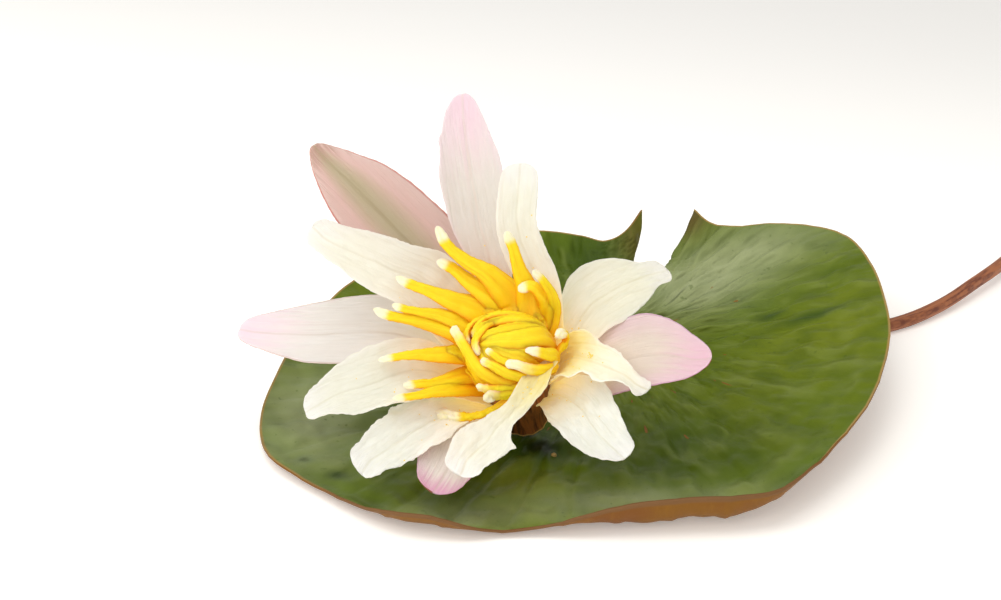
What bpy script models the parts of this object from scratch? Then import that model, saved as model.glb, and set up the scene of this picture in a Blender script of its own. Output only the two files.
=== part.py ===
"""A picked water lily: one floating leaf with its stalk, and one open flower that rests on the leaf.

Metres, +Z up, the front is -Y. The origin is on the surface that the leaf lies on, under the
middle of the blade, where the blade lies flat. The leaf's slit (its sinus) opens to the back.
"""

import math
from dataclasses import dataclass

import bmesh
import bpy
from mathutils import Euler, Vector

MM = 0.001

# Every size below is in millimetres. Pieces that touch are kept a few tenths apart.

# ---------------------------------------------------------------- leaf blade

LEAF_THICKNESS = 0.9
LEAF_CENTRE = (7.0, 18.0)  # where the stalk joins the blade, at the inner end of the slit
LEAF_CENTRE_RISE = 4.2  # the blade's height there, over its own stalk
LEAF_CENTRE_REACH = 17.0  # how far round that point the blade is still raised
LEAF_SETTLE = 0.35  # the blade sags by this, so that all below it lies flat
LEAF_RINGS = 10
LEAF_SECTORS_A_POINT = 2
LIP_DEPTH = 6.5  # how far in from the rim a lip starts to turn up


@dataclass(frozen=True)
class RimPoint:
    """A point of the leaf's rim.

    height is the rim's height, reached along a curve of the given power: 1 is a straight slope
    from the stalk, 6 is flat nearly to the rim. lip is the part of the height that comes from an
    edge turned straight up.
    """

    x: float
    y: float
    height: float
    power: float
    lip: float = 0.0


# From the right lobe's tip round the right, the front and the left to the left lobe's tip.
RIM = (
    RimPoint(28.6, 58.0, 14.5, 1.7, 3.0),
    RimPoint(32.2, 53.6, 13.0, 1.6, 1.0),
    RimPoint(37.5, 50.6, 13.5, 1.5),
    RimPoint(46.0, 48.8, 15.0, 1.3),
    RimPoint(56.0, 44.8, 16.0, 1.2),
    RimPoint(62.4, 37.0, 16.5, 1.2),
    RimPoint(65.6, 23.3, 16.5, 1.2),
    RimPoint(66.6, 9.3, 16.0, 1.3),
    RimPoint(66.4, -4.1, 15.0, 1.4),
    RimPoint(64.0, -16.9, 13.5, 1.6),
    RimPoint(59.6, -30.5, 12.0, 1.9),
    RimPoint(53.5, -42.0, 10.5, 2.3, 0.5),
    RimPoint(45.7, -53.6, 9.0, 3.0, 2.0),
    RimPoint(38.0, -61.0, 8.0, 4.0, 4.5),
    RimPoint(30.5, -63.2, 8.0, 5.0, 6.5),
    RimPoint(21.5, -64.0, 8.0, 6.0, 7.5),
    RimPoint(9.5, -64.8, 7.0, 6.0, 6.6),
    RimPoint(-0.5, -65.0, 4.2, 6.0, 4.0),
    RimPoint(-9.0, -65.0, 1.8, 6.0, 1.2),
    RimPoint(-16.5, -65.4, 1.2, 6.0, 0.6),
    RimPoint(-22.5, -66.4, 3.0, 6.0, 2.6),
    RimPoint(-29.7, -65.6, 4.8, 6.0, 4.4),
    RimPoint(-36.5, -63.6, 4.6, 6.0, 4.0),
    RimPoint(-43.5, -58.4, 2.8, 6.0, 2.0),
    RimPoint(-52.0, -49.6, 1.8, 5.0, 0.8),
    RimPoint(-61.2, -39.4, 1.8, 5.0, 0.8),
    RimPoint(-65.2, -30.0, 1.8, 5.0, 0.8),
    RimPoint(-66.0, -16.5, 2.0, 5.0, 0.8),
    RimPoint(-64.2, -2.0, 2.2, 5.0, 0.8),
    RimPoint(-61.6, 12.0, 2.4, 5.0, 0.8),
    RimPoint(-57.2, 26.5, 2.6, 5.0, 0.8),
    RimPoint(-49.8, 42.0, 3.6, 4.0, 0.8),
    RimPoint(-37.0, 54.5, 5.0, 3.4, 0.8),
    RimPoint(-21.0, 61.0, 6.4, 3.0, 1.0),
    RimPoint(-7.0, 61.4, 7.4, 2.6, 1.0),
    RimPoint(2.0, 57.4, 8.2, 2.4, 1.0),
    RimPoint(8.0, 52.6, 9.0, 2.2, 1.5),
    RimPoint(12.4, 52.4, 11.5, 2.2, 3.0),
    RimPoint(16.4, 55.8, 15.5, 2.2, 5.0),
)

# ---------------------------------------------------------------- leaf stalk

STALK_DIAMETER = 3.0
STALK_CORNERS_RESOLUTION = 2
STALK_STEPS = 3  # straight pieces between two points of the route

# Its middle line: from under the blade's centre, out at the right and on along the surface.
STALK_ROUTE = (
    (9.0, 18.3, 2.0),
    (20.0, 18.6, 1.7),
    (34.0, 18.8, 1.6),
    (48.0, 19.4, 1.6),
    (61.0, 21.6, 1.6),
    (72.5, 26.3, 1.6),
    (82.5, 34.0, 2.0),
    (92.0, 44.6, 2.7),
    (100.5, 56.0, 2.7),
    (107.0, 68.5, 2.0),
    (111.5, 82.0, 1.6),
)

# ---------------------------------------------------------------- flower

FLOWER_FOOT = (-10.7, -22.1, 3.7)  # the middle of the cut under the flower
FLOWER_LEAN_FORWARD = 28.0  # degrees
FLOWER_LEAN_LEFT = 10.0

# The flower's base, turned about its axis: (radius, height above the cut), top to bottom.
FLOWER_BASE_PROFILE = (
    (0.0, 17.4),
    (2.4, 17.6),
    (4.4, 18.8),
    (5.6, 18.4),
    (6.6, 16.4),
    (7.0, 13.6),
    (6.6, 10.8),
    (5.7, 7.4),
    (5.0, 3.6),
    (4.9, 0.5),
    (4.6, 0.0),
    (0.0, 0.0),
)
FLOWER_BASE_SIDES = 22

# Where pieces stand on the flower's base, lowest first: (radius, height above the cut).
FRONT_SEPAL_FOOT = (6.9, 7.6)
BACK_SEPAL_FOOT = (7.3, 8.8)
SEPAL_FOOT = (7.6, 9.6)
LEFT_SEPAL_FOOT = (7.6, 10.6)
LOW_PETAL_FOOT = (7.8, 11.3)
PETAL_FOOT = (7.9, 13.3)
UPRIGHT_PETAL_FOOT = (9.4, 15.2)
INNER_PETAL_FOOT = (8.8, 15.5)
STAMEN_FOOT = (7.4, 16.8)

PETAL_THICKNESS = 0.8
PETAL_ROWS = 8
PETAL_COLUMNS = 6
STAMEN_THICKNESS = 1.1
STAMEN_ROWS = 7
STAMEN_COLUMNS = 2
ROWS_CLOSE_UP = 1.35  # over 1, rows lie closer together towards the tip


@dataclass(frozen=True)
class Blade:
    """A petal, sepal or stamen: a strip that leaves the flower's base and bends outwards.

    azimuth is where it stands round the axis, 0 at the right and 90 at the back.
    lean is its angle from the axis, turn how far it heads sideways (counter-clockwise) of its
    azimuth, and twist its turn about its own line, each at its foot and at its tip.
    cup is how far its edges turn up, each side of the midrib. All of these are degrees.
    foot_share is its width at the foot and widest the place of its full width, as shares.
    taper is 0.5 for a round tip and 1 for a sharp one.
    """

    name: str
    azimuth: float
    length: float
    width: float
    lean: tuple
    turn: tuple = (0.0, 0.0)
    twist: tuple = (0.0, 0.0)
    cup: float = 28.0
    foot_share: float = 0.42
    widest: float = 0.55
    taper: float = 0.62
    foot: tuple = PETAL_FOOT


SEPALS = (
    Blade("sepal_back_left", 124, 61.7, 18.0, (60, 68), cup=26, taper=0.75, foot=BACK_SEPAL_FOOT),
    Blade("sepal_left", 162, 53.0, 17.5, (56, 99), cup=22, foot=LEFT_SEPAL_FOOT),
    Blade("sepal_front", 240, 33, 16.0, (43, 77), widest=0.62, foot=FRONT_SEPAL_FOOT),
    Blade("sepal_right", 344, 39, 16.0, (50, 74), cup=24, foot=SEPAL_FOOT),
)

PETALS = (
    Blade("petal_back", 94, 54.3, 14.6, (45, 60), turn=(3, -7), cup=26, taper=0.5, widest=0.62),
    Blade("petal_back_left", 141, 46, 15.0, (44, 72)),
    Blade("petal_left", 193, 39, 16.5, (39, 95)),
    Blade("petal_front_left", 219, 36, 15.5, (42, 90), widest=0.6, foot=LOW_PETAL_FOOT),
    Blade("petal_front_right", 314, 31, 12.0, (47, 91), turn=(0, -22), cup=24, widest=0.5),
    Blade(
        "petal_front",
        328,
        35,
        12.0,
        (50, 84),
        turn=(-98, -91),
        twist=(30, 0),
        foot_share=0.25,
        foot=INNER_PETAL_FOOT,
    ),
    Blade("petal_right", 354, 28.5, 9.0, (25, 105), turn=(-22, -42), cup=34, foot=INNER_PETAL_FOOT),
    Blade("petal_back_right", 24, 32.6, 15.6, (42, 95), cup=16, widest=0.5, foot=LOW_PETAL_FOOT),
    Blade(
        "petal_upright",
        40,
        38.2,
        11.0,
        (42, 58),
        turn=(59, 39),
        cup=14,
        foot_share=0.35,
        widest=0.4,
        taper=0.45,
        foot=UPRIGHT_PETAL_FOOT,
    ),
)

# Azimuth, length, width, lean (at the foot and at the tip) and turn.
STAMENS = (
    (52, 17.4, 2.0, (27, 23), 9),
    (68, 12.2, 1.8, (25, 15), 2),
    (84, 24.3, 2.2, (26, 32), -7),
    (98, 29.1, 2.5, (27, 68), 23),
    (112, 22.4, 2.3, (27, 68), 15),
    (126, 26.3, 3.0, (27, 76), 22),
    (142, 26.4, 3.0, (30, 78), 24),
    (166, 22.8, 3.2, (34, 80), 20),
    (184, 18.1, 2.8, (40, 72), 15),
    (201, 21.9, 2.8, (44, 70), 4),
    (218, 15.5, 2.4, (48, 64), 2),
)

# The inner stamens lie over one another and meet at the left: one ribbed dome.
DOME_CENTRE = (0.6, -0.2, 22.9)  # from the cut, along the flower's axis
DOME_RADII = (9.5, 8.5, 7.2)
DOME_UNDERSIDE = 3.6  # how far below its centre the dome is flat
DOME_RADIUS_BELOW = 5.0
DOME_RIBS = 15
DOME_RIB_DEPTH = 0.05  # a share of the radius
DOME_STEPS = 9


# ---------------------------------------------------------------- helpers


def remove_everything():
    for obj in list(bpy.data.objects):
        bpy.data.objects.remove(obj)


def principled(name, colour, roughness):
    material = bpy.data.materials.new(name)
    material.use_nodes = True
    shader = material.node_tree.nodes["Principled BSDF"]
    shader.inputs["Base Color"].default_value = (*colour, 1.0)
    shader.inputs["Roughness"].default_value = roughness
    return material


def smoothstep(x):
    x = min(1.0, max(0.0, x))
    return x * x * (3 - 2 * x)


def along(values, t):
    """The smooth (Catmull-Rom) curve through values, read at t from 0 to 1."""
    place = min(max(t, 0.0), 1.0) * (len(values) - 1)
    i = min(int(place), len(values) - 2)
    a, b, c, d = values[max(i - 1, 0)], values[i], values[i + 1], values[min(i + 2, len(values) - 1)]
    t = place - i
    return b + 0.5 * t * (c - a + t * (2 * a - 5 * b + 4 * c - d + t * (3 * (b - c) + d - a)))


def new_object(name, data, material, collection, parent=None):
    obj = bpy.data.objects.new(name, data)
    obj.data.materials.append(material)
    collection.objects.link(obj)
    obj.parent = parent
    return obj


def bent_grid(name, columns, rows, place):
    """A grid primitive whose points go where place(u, v) says, in millimetres, with u, v from 0 to 1."""
    mesh = bpy.data.meshes.new(name)
    bm = bmesh.new()
    bmesh.ops.create_grid(bm, x_segments=columns, y_segments=rows, size=0.5)
    for vertex in bm.verts:
        vertex.co = Vector(place(vertex.co.x + 0.5, vertex.co.y + 0.5)) * MM
    bmesh.ops.remove_doubles(bm, verts=bm.verts, dist=0.01 * MM)
    bm.to_mesh(mesh)
    bm.free()
    mesh.shade_smooth()
    return mesh


def thicken(obj, thickness, offset):
    """Gives a sheet its thickness: offset -1 keeps its top where it is, 0 grows it both ways."""
    solidify = obj.modifiers.new("Thickness", "SOLIDIFY")
    solidify.thickness = thickness * MM
    solidify.offset = offset


# ---------------------------------------------------------------- leaf


def leaf_top(u, v):
    """A point of the blade's top: u runs round the rim, v from the stalk (0) out to the rim (1)."""
    v = 1 - (1 - v) ** 1.5
    x, y, height, power, lip = (
        along([getattr(point, name) for point in RIM], u) for name in ("x", "y", "height", "power", "lip")
    )
    across = Vector((x - LEAF_CENTRE[0], y - LEAF_CENTRE[1]))
    reach = across.length
    lip = max(lip, 0.0)
    turn = max(0.0, 1 - (1 - v) * reach / LIP_DEPTH)
    raised = LEAF_CENTRE_RISE * (1 - smoothstep(v * reach / LEAF_CENTRE_REACH))
    z = max(raised + (height - lip) * v**power - LEAF_SETTLE, 0.0) + lip * (1 - math.cos(turn * math.pi / 2))
    inner = 1 - LIP_DEPTH / reach
    if turn > 0:
        upright = min(lip / LIP_DEPTH, 1.0)
        v += upright * (inner + (1 - inner) * math.sin(turn * math.pi / 2) - v)
    place = Vector(LEAF_CENTRE) + across * v
    return place.x, place.y, z + LEAF_THICKNESS


def make_leaf_blade(collection, material):
    sectors = LEAF_SECTORS_A_POINT * (len(RIM) - 1)
    blade = new_object("leaf_blade", bent_grid("leaf_blade", sectors, LEAF_RINGS, leaf_top), material, collection)
    thicken(blade, LEAF_THICKNESS, -1)


def make_leaf_stalk(collection, material):
    curve = bpy.data.curves.new("leaf_stalk", "CURVE")
    curve.dimensions = "3D"
    curve.bevel_depth = STALK_DIAMETER / 2 * MM
    curve.bevel_resolution = STALK_CORNERS_RESOLUTION
    curve.use_fill_caps = True
    spline = curve.splines.new("POLY")
    steps = STALK_STEPS * (len(STALK_ROUTE) - 1)
    spline.points.add(steps)
    for i, point in enumerate(spline.points):
        place = [along([corner[axis] for corner in STALK_ROUTE], i / steps) * MM for axis in range(3)]
        point.co = (*place, 1.0)
    new_object("leaf_stalk", curve, material, collection)


# ---------------------------------------------------------------- flower


def make_flower_axis(collection):
    """An empty at the cut under the flower. Its Z is the flower's axis."""
    axis = bpy.data.objects.new("flower_axis", None)
    axis.location = Vector(FLOWER_FOOT) * MM
    axis.rotation_euler = Euler((math.radians(FLOWER_LEAN_FORWARD), math.radians(-FLOWER_LEAN_LEFT), 0.0))
    collection.objects.link(axis)
    return axis


def make_flower_base(collection, material, axis):
    mesh = bpy.data.meshes.new("flower_base")
    bm = bmesh.new()
    points = [bm.verts.new((radius * MM, 0.0, height * MM)) for radius, height in FLOWER_BASE_PROFILE]
    for above, below in zip(points, points[1:]):
        bm.edges.new((above, below))
    bm.to_mesh(mesh)
    bm.free()
    base = new_object("flower_base", mesh, material, collection, axis)
    screw = base.modifiers.new("Turn", "SCREW")
    screw.steps = screw.render_steps = FLOWER_BASE_SIDES
    screw.use_merge_vertices = True
    screw.merge_threshold = 0.00005
    screw.use_smooth_shade = True


def half_width(blade, s):
    """Half the blade's width at s, which runs from 0 at its foot to 1 at its tip."""
    if s < blade.widest:
        share = blade.foot_share + (1 - blade.foot_share) * math.sin(math.pi / 2 * s / blade.widest)
    else:
        past = (s - blade.widest) / (1 - blade.widest)
        share = max(1 - past**2, 0.0) ** blade.taper
    return blade.width / 2 * max(share, 0.06)


def between(ends, s):
    """An angle of a blade at s, in radians."""
    return math.radians(ends[0] + (ends[1] - ends[0]) * s)


def midrib(blade, places):
    """The blade's middle line: for each place along it a point, the direction across and the one up."""
    azimuth = math.radians(blade.azimuth)
    outwards = Vector((math.cos(azimuth), math.sin(azimuth), 0.0))
    sideways = Vector((-math.sin(azimuth), math.cos(azimuth), 0.0))
    upwards = Vector((0.0, 0.0, 1.0))
    point = outwards * blade.foot[0] + upwards * blade.foot[1]
    line = []
    for i, s in enumerate(places):
        lean, turn, twist = between(blade.lean, s), between(blade.turn, s), between(blade.twist, s)
        out = outwards * math.cos(turn) + sideways * math.sin(turn)
        flat = sideways * math.cos(turn) - outwards * math.sin(turn)
        ahead = out * math.sin(lean) + upwards * math.cos(lean)
        across = flat * math.cos(twist) + ahead.cross(flat) * math.sin(twist)
        if i:
            point = point + (ahead + before).normalized() * blade.length * (s - places[i - 1])
        line.append((point, across, ahead.cross(across)))
        before = ahead
    return line


def make_blade(blade, rows, columns, thickness, material, collection, axis):
    places = [1 - (1 - row / rows) ** ROWS_CLOSE_UP for row in range(rows + 1)]
    line = midrib(blade, places)
    cup = math.radians(blade.cup)

    def place(u, v):
        row = round(u * rows)
        point, across, up = line[row]
        angle = cup * (2 * v - 1)
        return point + (across * math.sin(angle) + up * (1 - math.cos(angle))) * half_width(blade, places[row]) / cup

    obj = new_object(blade.name, bent_grid(blade.name, rows, columns, place), material, collection, axis)
    thicken(obj, thickness, 0)


def make_stamens(material, collection, axis):
    for i, (azimuth, length, width, lean, turn) in enumerate(STAMENS, 1):
        stamen = Blade(
            f"stamen_{i:02}",
            azimuth,
            length,
            width,
            lean,
            turn=(turn, turn),
            cup=20,
            foot_share=0.35,
            widest=0.5,
            foot=STAMEN_FOOT,
        )
        make_blade(stamen, STAMEN_ROWS, STAMEN_COLUMNS, STAMEN_THICKNESS, material, collection, axis)


def make_inner_stamens(material, collection, axis):
    """A sphere with its poles at the left and the right. Its meridians are the stamens."""
    mesh = bpy.data.meshes.new("inner_stamens")
    bm = bmesh.new()
    bmesh.ops.create_uvsphere(bm, u_segments=2 * DOME_RIBS, v_segments=DOME_STEPS, radius=1.0)
    bmesh.ops.rotate(bm, verts=bm.verts, matrix=Euler((0.0, math.radians(90), 0.0)).to_matrix())
    for vertex in bm.verts:
        x, y, z = vertex.co
        rib = math.cos(DOME_RIBS * math.atan2(z, y))
        grown = 1 + DOME_RIB_DEPTH * rib * math.hypot(y, z)
        z = max(z * (DOME_RADII[2] if z > 0 else DOME_RADIUS_BELOW) * grown, -DOME_UNDERSIDE)
        vertex.co = (Vector((x * DOME_RADII[0], y * DOME_RADII[1] * grown, z)) + Vector(DOME_CENTRE)) * MM
    bm.to_mesh(mesh)
    bm.free()
    mesh.shade_smooth()
    new_object("inner_stamens", mesh, material, collection, axis)


def main():
    remove_everything()
    lily = bpy.data.collections.new("water_lily")
    bpy.context.scene.collection.children.link(lily)
    make_leaf_blade(lily, principled("leaf_green", (0.10, 0.17, 0.04), 0.45))
    make_leaf_stalk(lily, principled("stalk_brown", (0.16, 0.05, 0.025), 0.5))
    axis = make_flower_axis(lily)
    make_flower_base(lily, principled("base_brown", (0.30, 0.12, 0.05), 0.55), axis)
    pink = principled("sepal_pink", (0.83, 0.66, 0.66), 0.55)
    cream = principled("petal_cream", (0.90, 0.87, 0.76), 0.55)
    yellow = principled("stamen_yellow", (0.90, 0.60, 0.03), 0.6)
    for sepal in SEPALS:
        make_blade(sepal, PETAL_ROWS, PETAL_COLUMNS, PETAL_THICKNESS, pink, lily, axis)
    for petal in PETALS:
        make_blade(petal, PETAL_ROWS, PETAL_COLUMNS, PETAL_THICKNESS, cream, lily, axis)
    make_stamens(yellow, lily, axis)
    make_inner_stamens(yellow, lily, axis)


if __name__ == "__main__":
    main()
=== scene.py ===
"""A picked water lily on its pad: the looks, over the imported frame.

Metres, +Z up, the front is -Y. Sizes in the classes below are millimetres, and each piece is put
into metres when its mesh is made. The flower's pieces are worked out in the flower's own frame,
whose Z is its axis, and then placed.
"""

import logging
import math
from collections.abc import Callable, Sequence
from dataclasses import dataclass, field
from enum import Enum
from functools import partial

import bmesh
import bpy
import numpy as np
from bpy.types import Material, Mesh, Node, NodeSocket, NodeTree, Object, bpy_prop_collection
from mathutils import Euler, Matrix, Vector, noise


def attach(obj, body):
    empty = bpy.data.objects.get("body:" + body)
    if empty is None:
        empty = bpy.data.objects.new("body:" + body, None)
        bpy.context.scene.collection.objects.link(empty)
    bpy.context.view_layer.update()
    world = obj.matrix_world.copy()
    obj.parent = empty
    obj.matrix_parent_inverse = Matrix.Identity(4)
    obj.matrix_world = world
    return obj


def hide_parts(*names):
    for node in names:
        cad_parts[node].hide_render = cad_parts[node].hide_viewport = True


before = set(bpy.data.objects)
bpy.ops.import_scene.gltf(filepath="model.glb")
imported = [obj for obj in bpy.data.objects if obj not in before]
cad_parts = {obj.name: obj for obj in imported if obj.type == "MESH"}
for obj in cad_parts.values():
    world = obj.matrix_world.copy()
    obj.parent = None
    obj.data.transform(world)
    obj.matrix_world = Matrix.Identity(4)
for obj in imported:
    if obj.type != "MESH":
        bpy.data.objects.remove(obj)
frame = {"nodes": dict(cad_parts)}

logging.basicConfig(level=logging.INFO, format="%(message)s")
log = logging.getLogger("water_lily")

MM = 0.001
WELD = 0.002 * MM
TINY = 1e-9
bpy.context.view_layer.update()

# The kinds of node that most finishes use, and settings that go with them.
NOISE, RANGE, MATH, MIX = "ShaderNodeTexNoise", "ShaderNodeMapRange", "ShaderNodeMath", "ShaderNodeMix"
VECTOR, SPLIT = "ShaderNodeVectorMath", "ShaderNodeSeparateXYZ"
KEPT, BUMP = "ShaderNodeAttribute", "ShaderNodeBump"
NAMED, MOVE, SWEEP = "GeometryNodeInputNamedAttribute", "GeometryNodeSetPosition", "GeometryNodeCurveToMesh"
EASED = {"interpolation_type": "SMOOTHSTEP"}
TIMES = {"operation": "MULTIPLY"}
COLOUR = {"data_type": "RGBA", "out": 2}
ALL = slice(None)


class Slot(Enum):
    """The record's material slots."""

    LEAF = "leaf_green"
    STALK = "stalk_brown"
    BASE = "base_brown"
    SEPAL = "sepal_pink"
    PETAL = "petal_cream"
    STAMEN = "stamen_yellow"


# ---------------------------------------------------------------- small helpers


def linear(code: str) -> tuple[float, float, float, float]:
    """Turns a colour as it is seen into the one a shader works with.

    Args:
        code: the sRGB colour, six hexadecimal digits.

    Returns:
        Linear red, green, blue and an alpha of 1.
    """
    parts = [int(code[i : i + 2], 16) / 255 for i in (0, 2, 4)]
    return (*(c / 12.92 if c <= 0.04045 else ((c + 0.055) / 1.055) ** 2.4 for c in parts), 1.0)


def smoothstep(x: float) -> float:
    """Eases x from 0 to 1."""
    x = min(1.0, max(0.0, x))
    return x * x * (3 - 2 * x)


def along(values: Sequence[float], t: float) -> float:
    """Reads the smooth curve through evenly spaced values.

    Args:
        values: the values that the curve passes through.
        t: the place on it, from 0 to 1.

    Returns:
        The curve's value there.
    """
    place = min(max(t, 0.0), 1.0) * (len(values) - 1)
    i = min(int(place), len(values) - 2)
    a, b, c, d = values[max(i - 1, 0)], values[i], values[i + 1], values[min(i + 2, len(values) - 1)]
    t = place - i
    return b + 0.5 * t * (c - a + t * (2 * a - 5 * b + 4 * c - d + t * (3 * (b - c) + d - a)))


def ripple(x: float, y: float, seed: float) -> float:
    """Smooth noise from -1 to 1 with features about 1 across."""
    return noise.noise(Vector((x, y, seed * 7.31)))


def round_off(inset: float) -> float:
    """How much of a sheet's thickness is left at an inset, 0 at its border and 1 where it is full."""
    return math.sqrt(max(1 - (1 - min(inset, 1.0)) ** 2, 0.0))


def grid_normals(points: np.ndarray) -> np.ndarray:
    """Works out the normals of a grid of points.

    Args:
        points: rows by columns by 3.

    Returns:
        Unit normals in the same shape, straight up where the grid comes to a point.
    """
    normals = np.cross(np.gradient(points, axis=0), np.gradient(points, axis=1))
    size = np.linalg.norm(normals, axis=2, keepdims=True)
    return np.where(size > TINY, normals / np.maximum(size, TINY), np.array([0.0, 0.0, 1.0]))


# ---------------------------------------------------------------- nodes


def feed(node: Node, links: dict) -> None:
    """Sets a node's inputs, by name or number, from other nodes' sockets or from plain values."""
    for name, source in links.items():
        if isinstance(source, NodeSocket):
            node.id_data.links.new(source, node.inputs[name])
        else:
            node.inputs[name].default_value = source


def add_node(
    tree: NodeTree, kind: str, links: dict | None = None, out: int | str | slice = 0, **settings
) -> NodeSocket | list[NodeSocket] | None:
    """Adds a node to a tree.

    Args:
        tree: the material's or the geometry's node tree.
        kind: the node's type.
        links: for an input's name or number, the socket that feeds it, or its plain value.
        out: which output is wanted, or ALL of them.
        settings: the node's own properties.

    Returns:
        That output, or None from a node that has no outputs.
    """
    node = tree.nodes.new(kind)
    for name, value in settings.items():
        setattr(node, name, value)
    feed(node, links or {})
    return node.outputs[out] if node.outputs else None


def new_material(name: str) -> tuple[Material, Callable, Node]:
    """Starts a material: itself, what adds a node to it, and its shader."""
    material = bpy.data.materials.new(name)
    material.use_nodes = True
    return material, partial(add_node, material.node_tree), material.node_tree.nodes["Principled BSDF"]


def drawn_out(
    node: Callable, span: NodeSocket, scale: tuple, detail: float, roughness: float = 0.5
) -> NodeSocket:
    """Adds noise that is drawn out along a piece.

    Args:
        node: what adds a node.
        span: the piece's own measures in millimetres.
        scale: features a millimetre, each way.
        detail: the noise's detail.
        roughness: how much its finer features show.

    Returns:
        The noise's value.
    """
    run = node(VECTOR, {0: span, 1: scale}, **TIMES)
    return node(NOISE, {"Vector": run, "Scale": 1.0, "Detail": detail, "Roughness": roughness})


def layered(node: Callable, base: str | NodeSocket, *layers: tuple) -> NodeSocket:
    """Lays colours over one another.

    Args:
        node: what adds a node.
        base: the lowest colour, a code or a socket.
        layers: for each layer from the lowest up, how much of it there is and its colour.

    Returns:
        The colour that shows.
    """
    colour = linear(base) if isinstance(base, str) else base
    for share, over in layers:
        colour = node(MIX, {0: share, 6: colour, 7: linear(over) if isinstance(over, str) else over}, **COLOUR)
    return colour


def new_tree(name: str, inputs: dict[str, str]) -> tuple[NodeTree, Callable, bpy_prop_collection]:
    """Starts a tree of geometry nodes.

    Args:
        name: the tree's name.
        inputs: for each input other than Geometry and Material, its kind.

    Returns:
        The tree, what adds a node to it, and the sockets of its inputs.
    """
    tree = bpy.data.node_groups.new(name, "GeometryNodeTree")
    for title, kind in {"Geometry": "Geometry", **inputs, "Material": "Material"}.items():
        tree.interface.new_socket(title, in_out="INPUT", socket_type=f"NodeSocket{kind}")
    tree.interface.new_socket("Geometry", in_out="OUTPUT", socket_type="NodeSocketGeometry")
    node = partial(add_node, tree)
    return tree, node, node("NodeGroupInput").node.outputs


def end_tree(node: Callable, given: bpy_prop_collection, made: NodeSocket) -> None:
    """Ends a tree of geometry nodes: real faces, their material, and out."""
    made = node("GeometryNodeRealizeInstances", {0: made})
    made = node("GeometryNodeSetMaterial", {"Geometry": made, "Material": given["Material"]})
    node("NodeGroupOutput", {0: made})


# ---------------------------------------------------------------- meshes


def keep(mesh: Mesh, fields: dict) -> None:
    """Keeps vectors or numbers on a mesh's points, for its material or its nodes."""
    for title, values in fields.items():
        values = np.array(values, np.float32)
        kind, key = ("FLOAT_VECTOR", "vector") if values.ndim > 1 else ("FLOAT", "value")
        mesh.attributes.new(title, kind, "POINT").data.foreach_set(key, values.ravel())


def tidy_mesh(mesh: Mesh) -> None:
    """Merges a mesh's doubled points, drops its loose ones and turns its faces outwards."""
    bm = bmesh.new()
    bm.from_mesh(mesh)
    bmesh.ops.remove_doubles(bm, verts=bm.verts, dist=WELD)
    bmesh.ops.delete(bm, geom=[v for v in bm.verts if not v.link_faces], context="VERTS")
    bmesh.ops.recalc_face_normals(bm, faces=bm.faces)
    bm.to_mesh(mesh)
    bm.free()


def closed_sheet(name: str, upper: np.ndarray, lower: np.ndarray, fields: dict[str, np.ndarray]) -> Mesh:
    """Makes one closed skin of two grids that share their border.

    Args:
        name: the mesh's name.
        upper: the upper face's points, rows by columns by 3, in millimetres.
        lower: the lower face's points in the same order. Its border is the upper one's.
        fields: vectors kept on the points for the materials, each in the grid's shape.

    Returns:
        The mesh, in metres, whose lower faces have material number 1.
    """
    rows, columns = upper.shape[:2]
    number = np.arange(rows * columns).reshape(rows, columns)
    below = number.copy()
    below[1:-1, 1:-1] += rows * columns
    faces, sides = [], []
    for indices, side in ((number, 0), (below, 1)):
        for i in range(rows - 1):
            for j in range(columns - 1):
                quad = (indices[i, j], indices[i + 1, j], indices[i + 1, j + 1], indices[i, j + 1])
                faces.append([int(k) for k in (quad if side == 0 else reversed(quad))])
                sides.append(side)
    mesh = bpy.data.meshes.new(name)
    mesh.from_pydata(np.concatenate([upper.reshape(-1, 3), lower.reshape(-1, 3)]) * MM, [], faces)
    mesh.polygons.foreach_set("material_index", sides)
    keep(mesh, {title: np.concatenate([values.reshape(-1, 3)] * 2) for title, values in fields.items()})
    tidy_mesh(mesh)
    return mesh


def turned_mesh(name: str, points: np.ndarray, place: np.ndarray) -> Mesh:
    """Makes a closed skin of rings that run round: its first and last columns come to a point each.

    Args:
        name: the mesh's name.
        points: places round it by places along it by 3, in millimetres.
        place: what its material reads, in the same shape.

    Returns:
        The mesh, in metres.
    """
    rows, columns = points.shape[:2]
    number = np.arange(rows * columns).reshape(rows, columns)
    faces = [
        [int(number[spot]) for spot in ((i, j), ((i + 1) % rows, j), ((i + 1) % rows, j + 1), (i, j + 1))]
        for i in range(rows)
        for j in range(columns - 1)
    ]
    mesh = bpy.data.meshes.new(name)
    mesh.from_pydata(points.reshape(-1, 3) * MM, [], faces)
    keep(mesh, {"place": place})
    tidy_mesh(mesh)
    return mesh


def new_piece(name: str, mesh: Mesh, *materials: Material) -> Object:
    """Puts a mesh in the scene with its materials, and smooths it."""
    for material in materials:
        mesh.materials.append(material)
    mesh.shade_smooth()
    piece = bpy.data.objects.new(name, mesh)
    bpy.context.scene.collection.objects.link(piece)
    return piece


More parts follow.
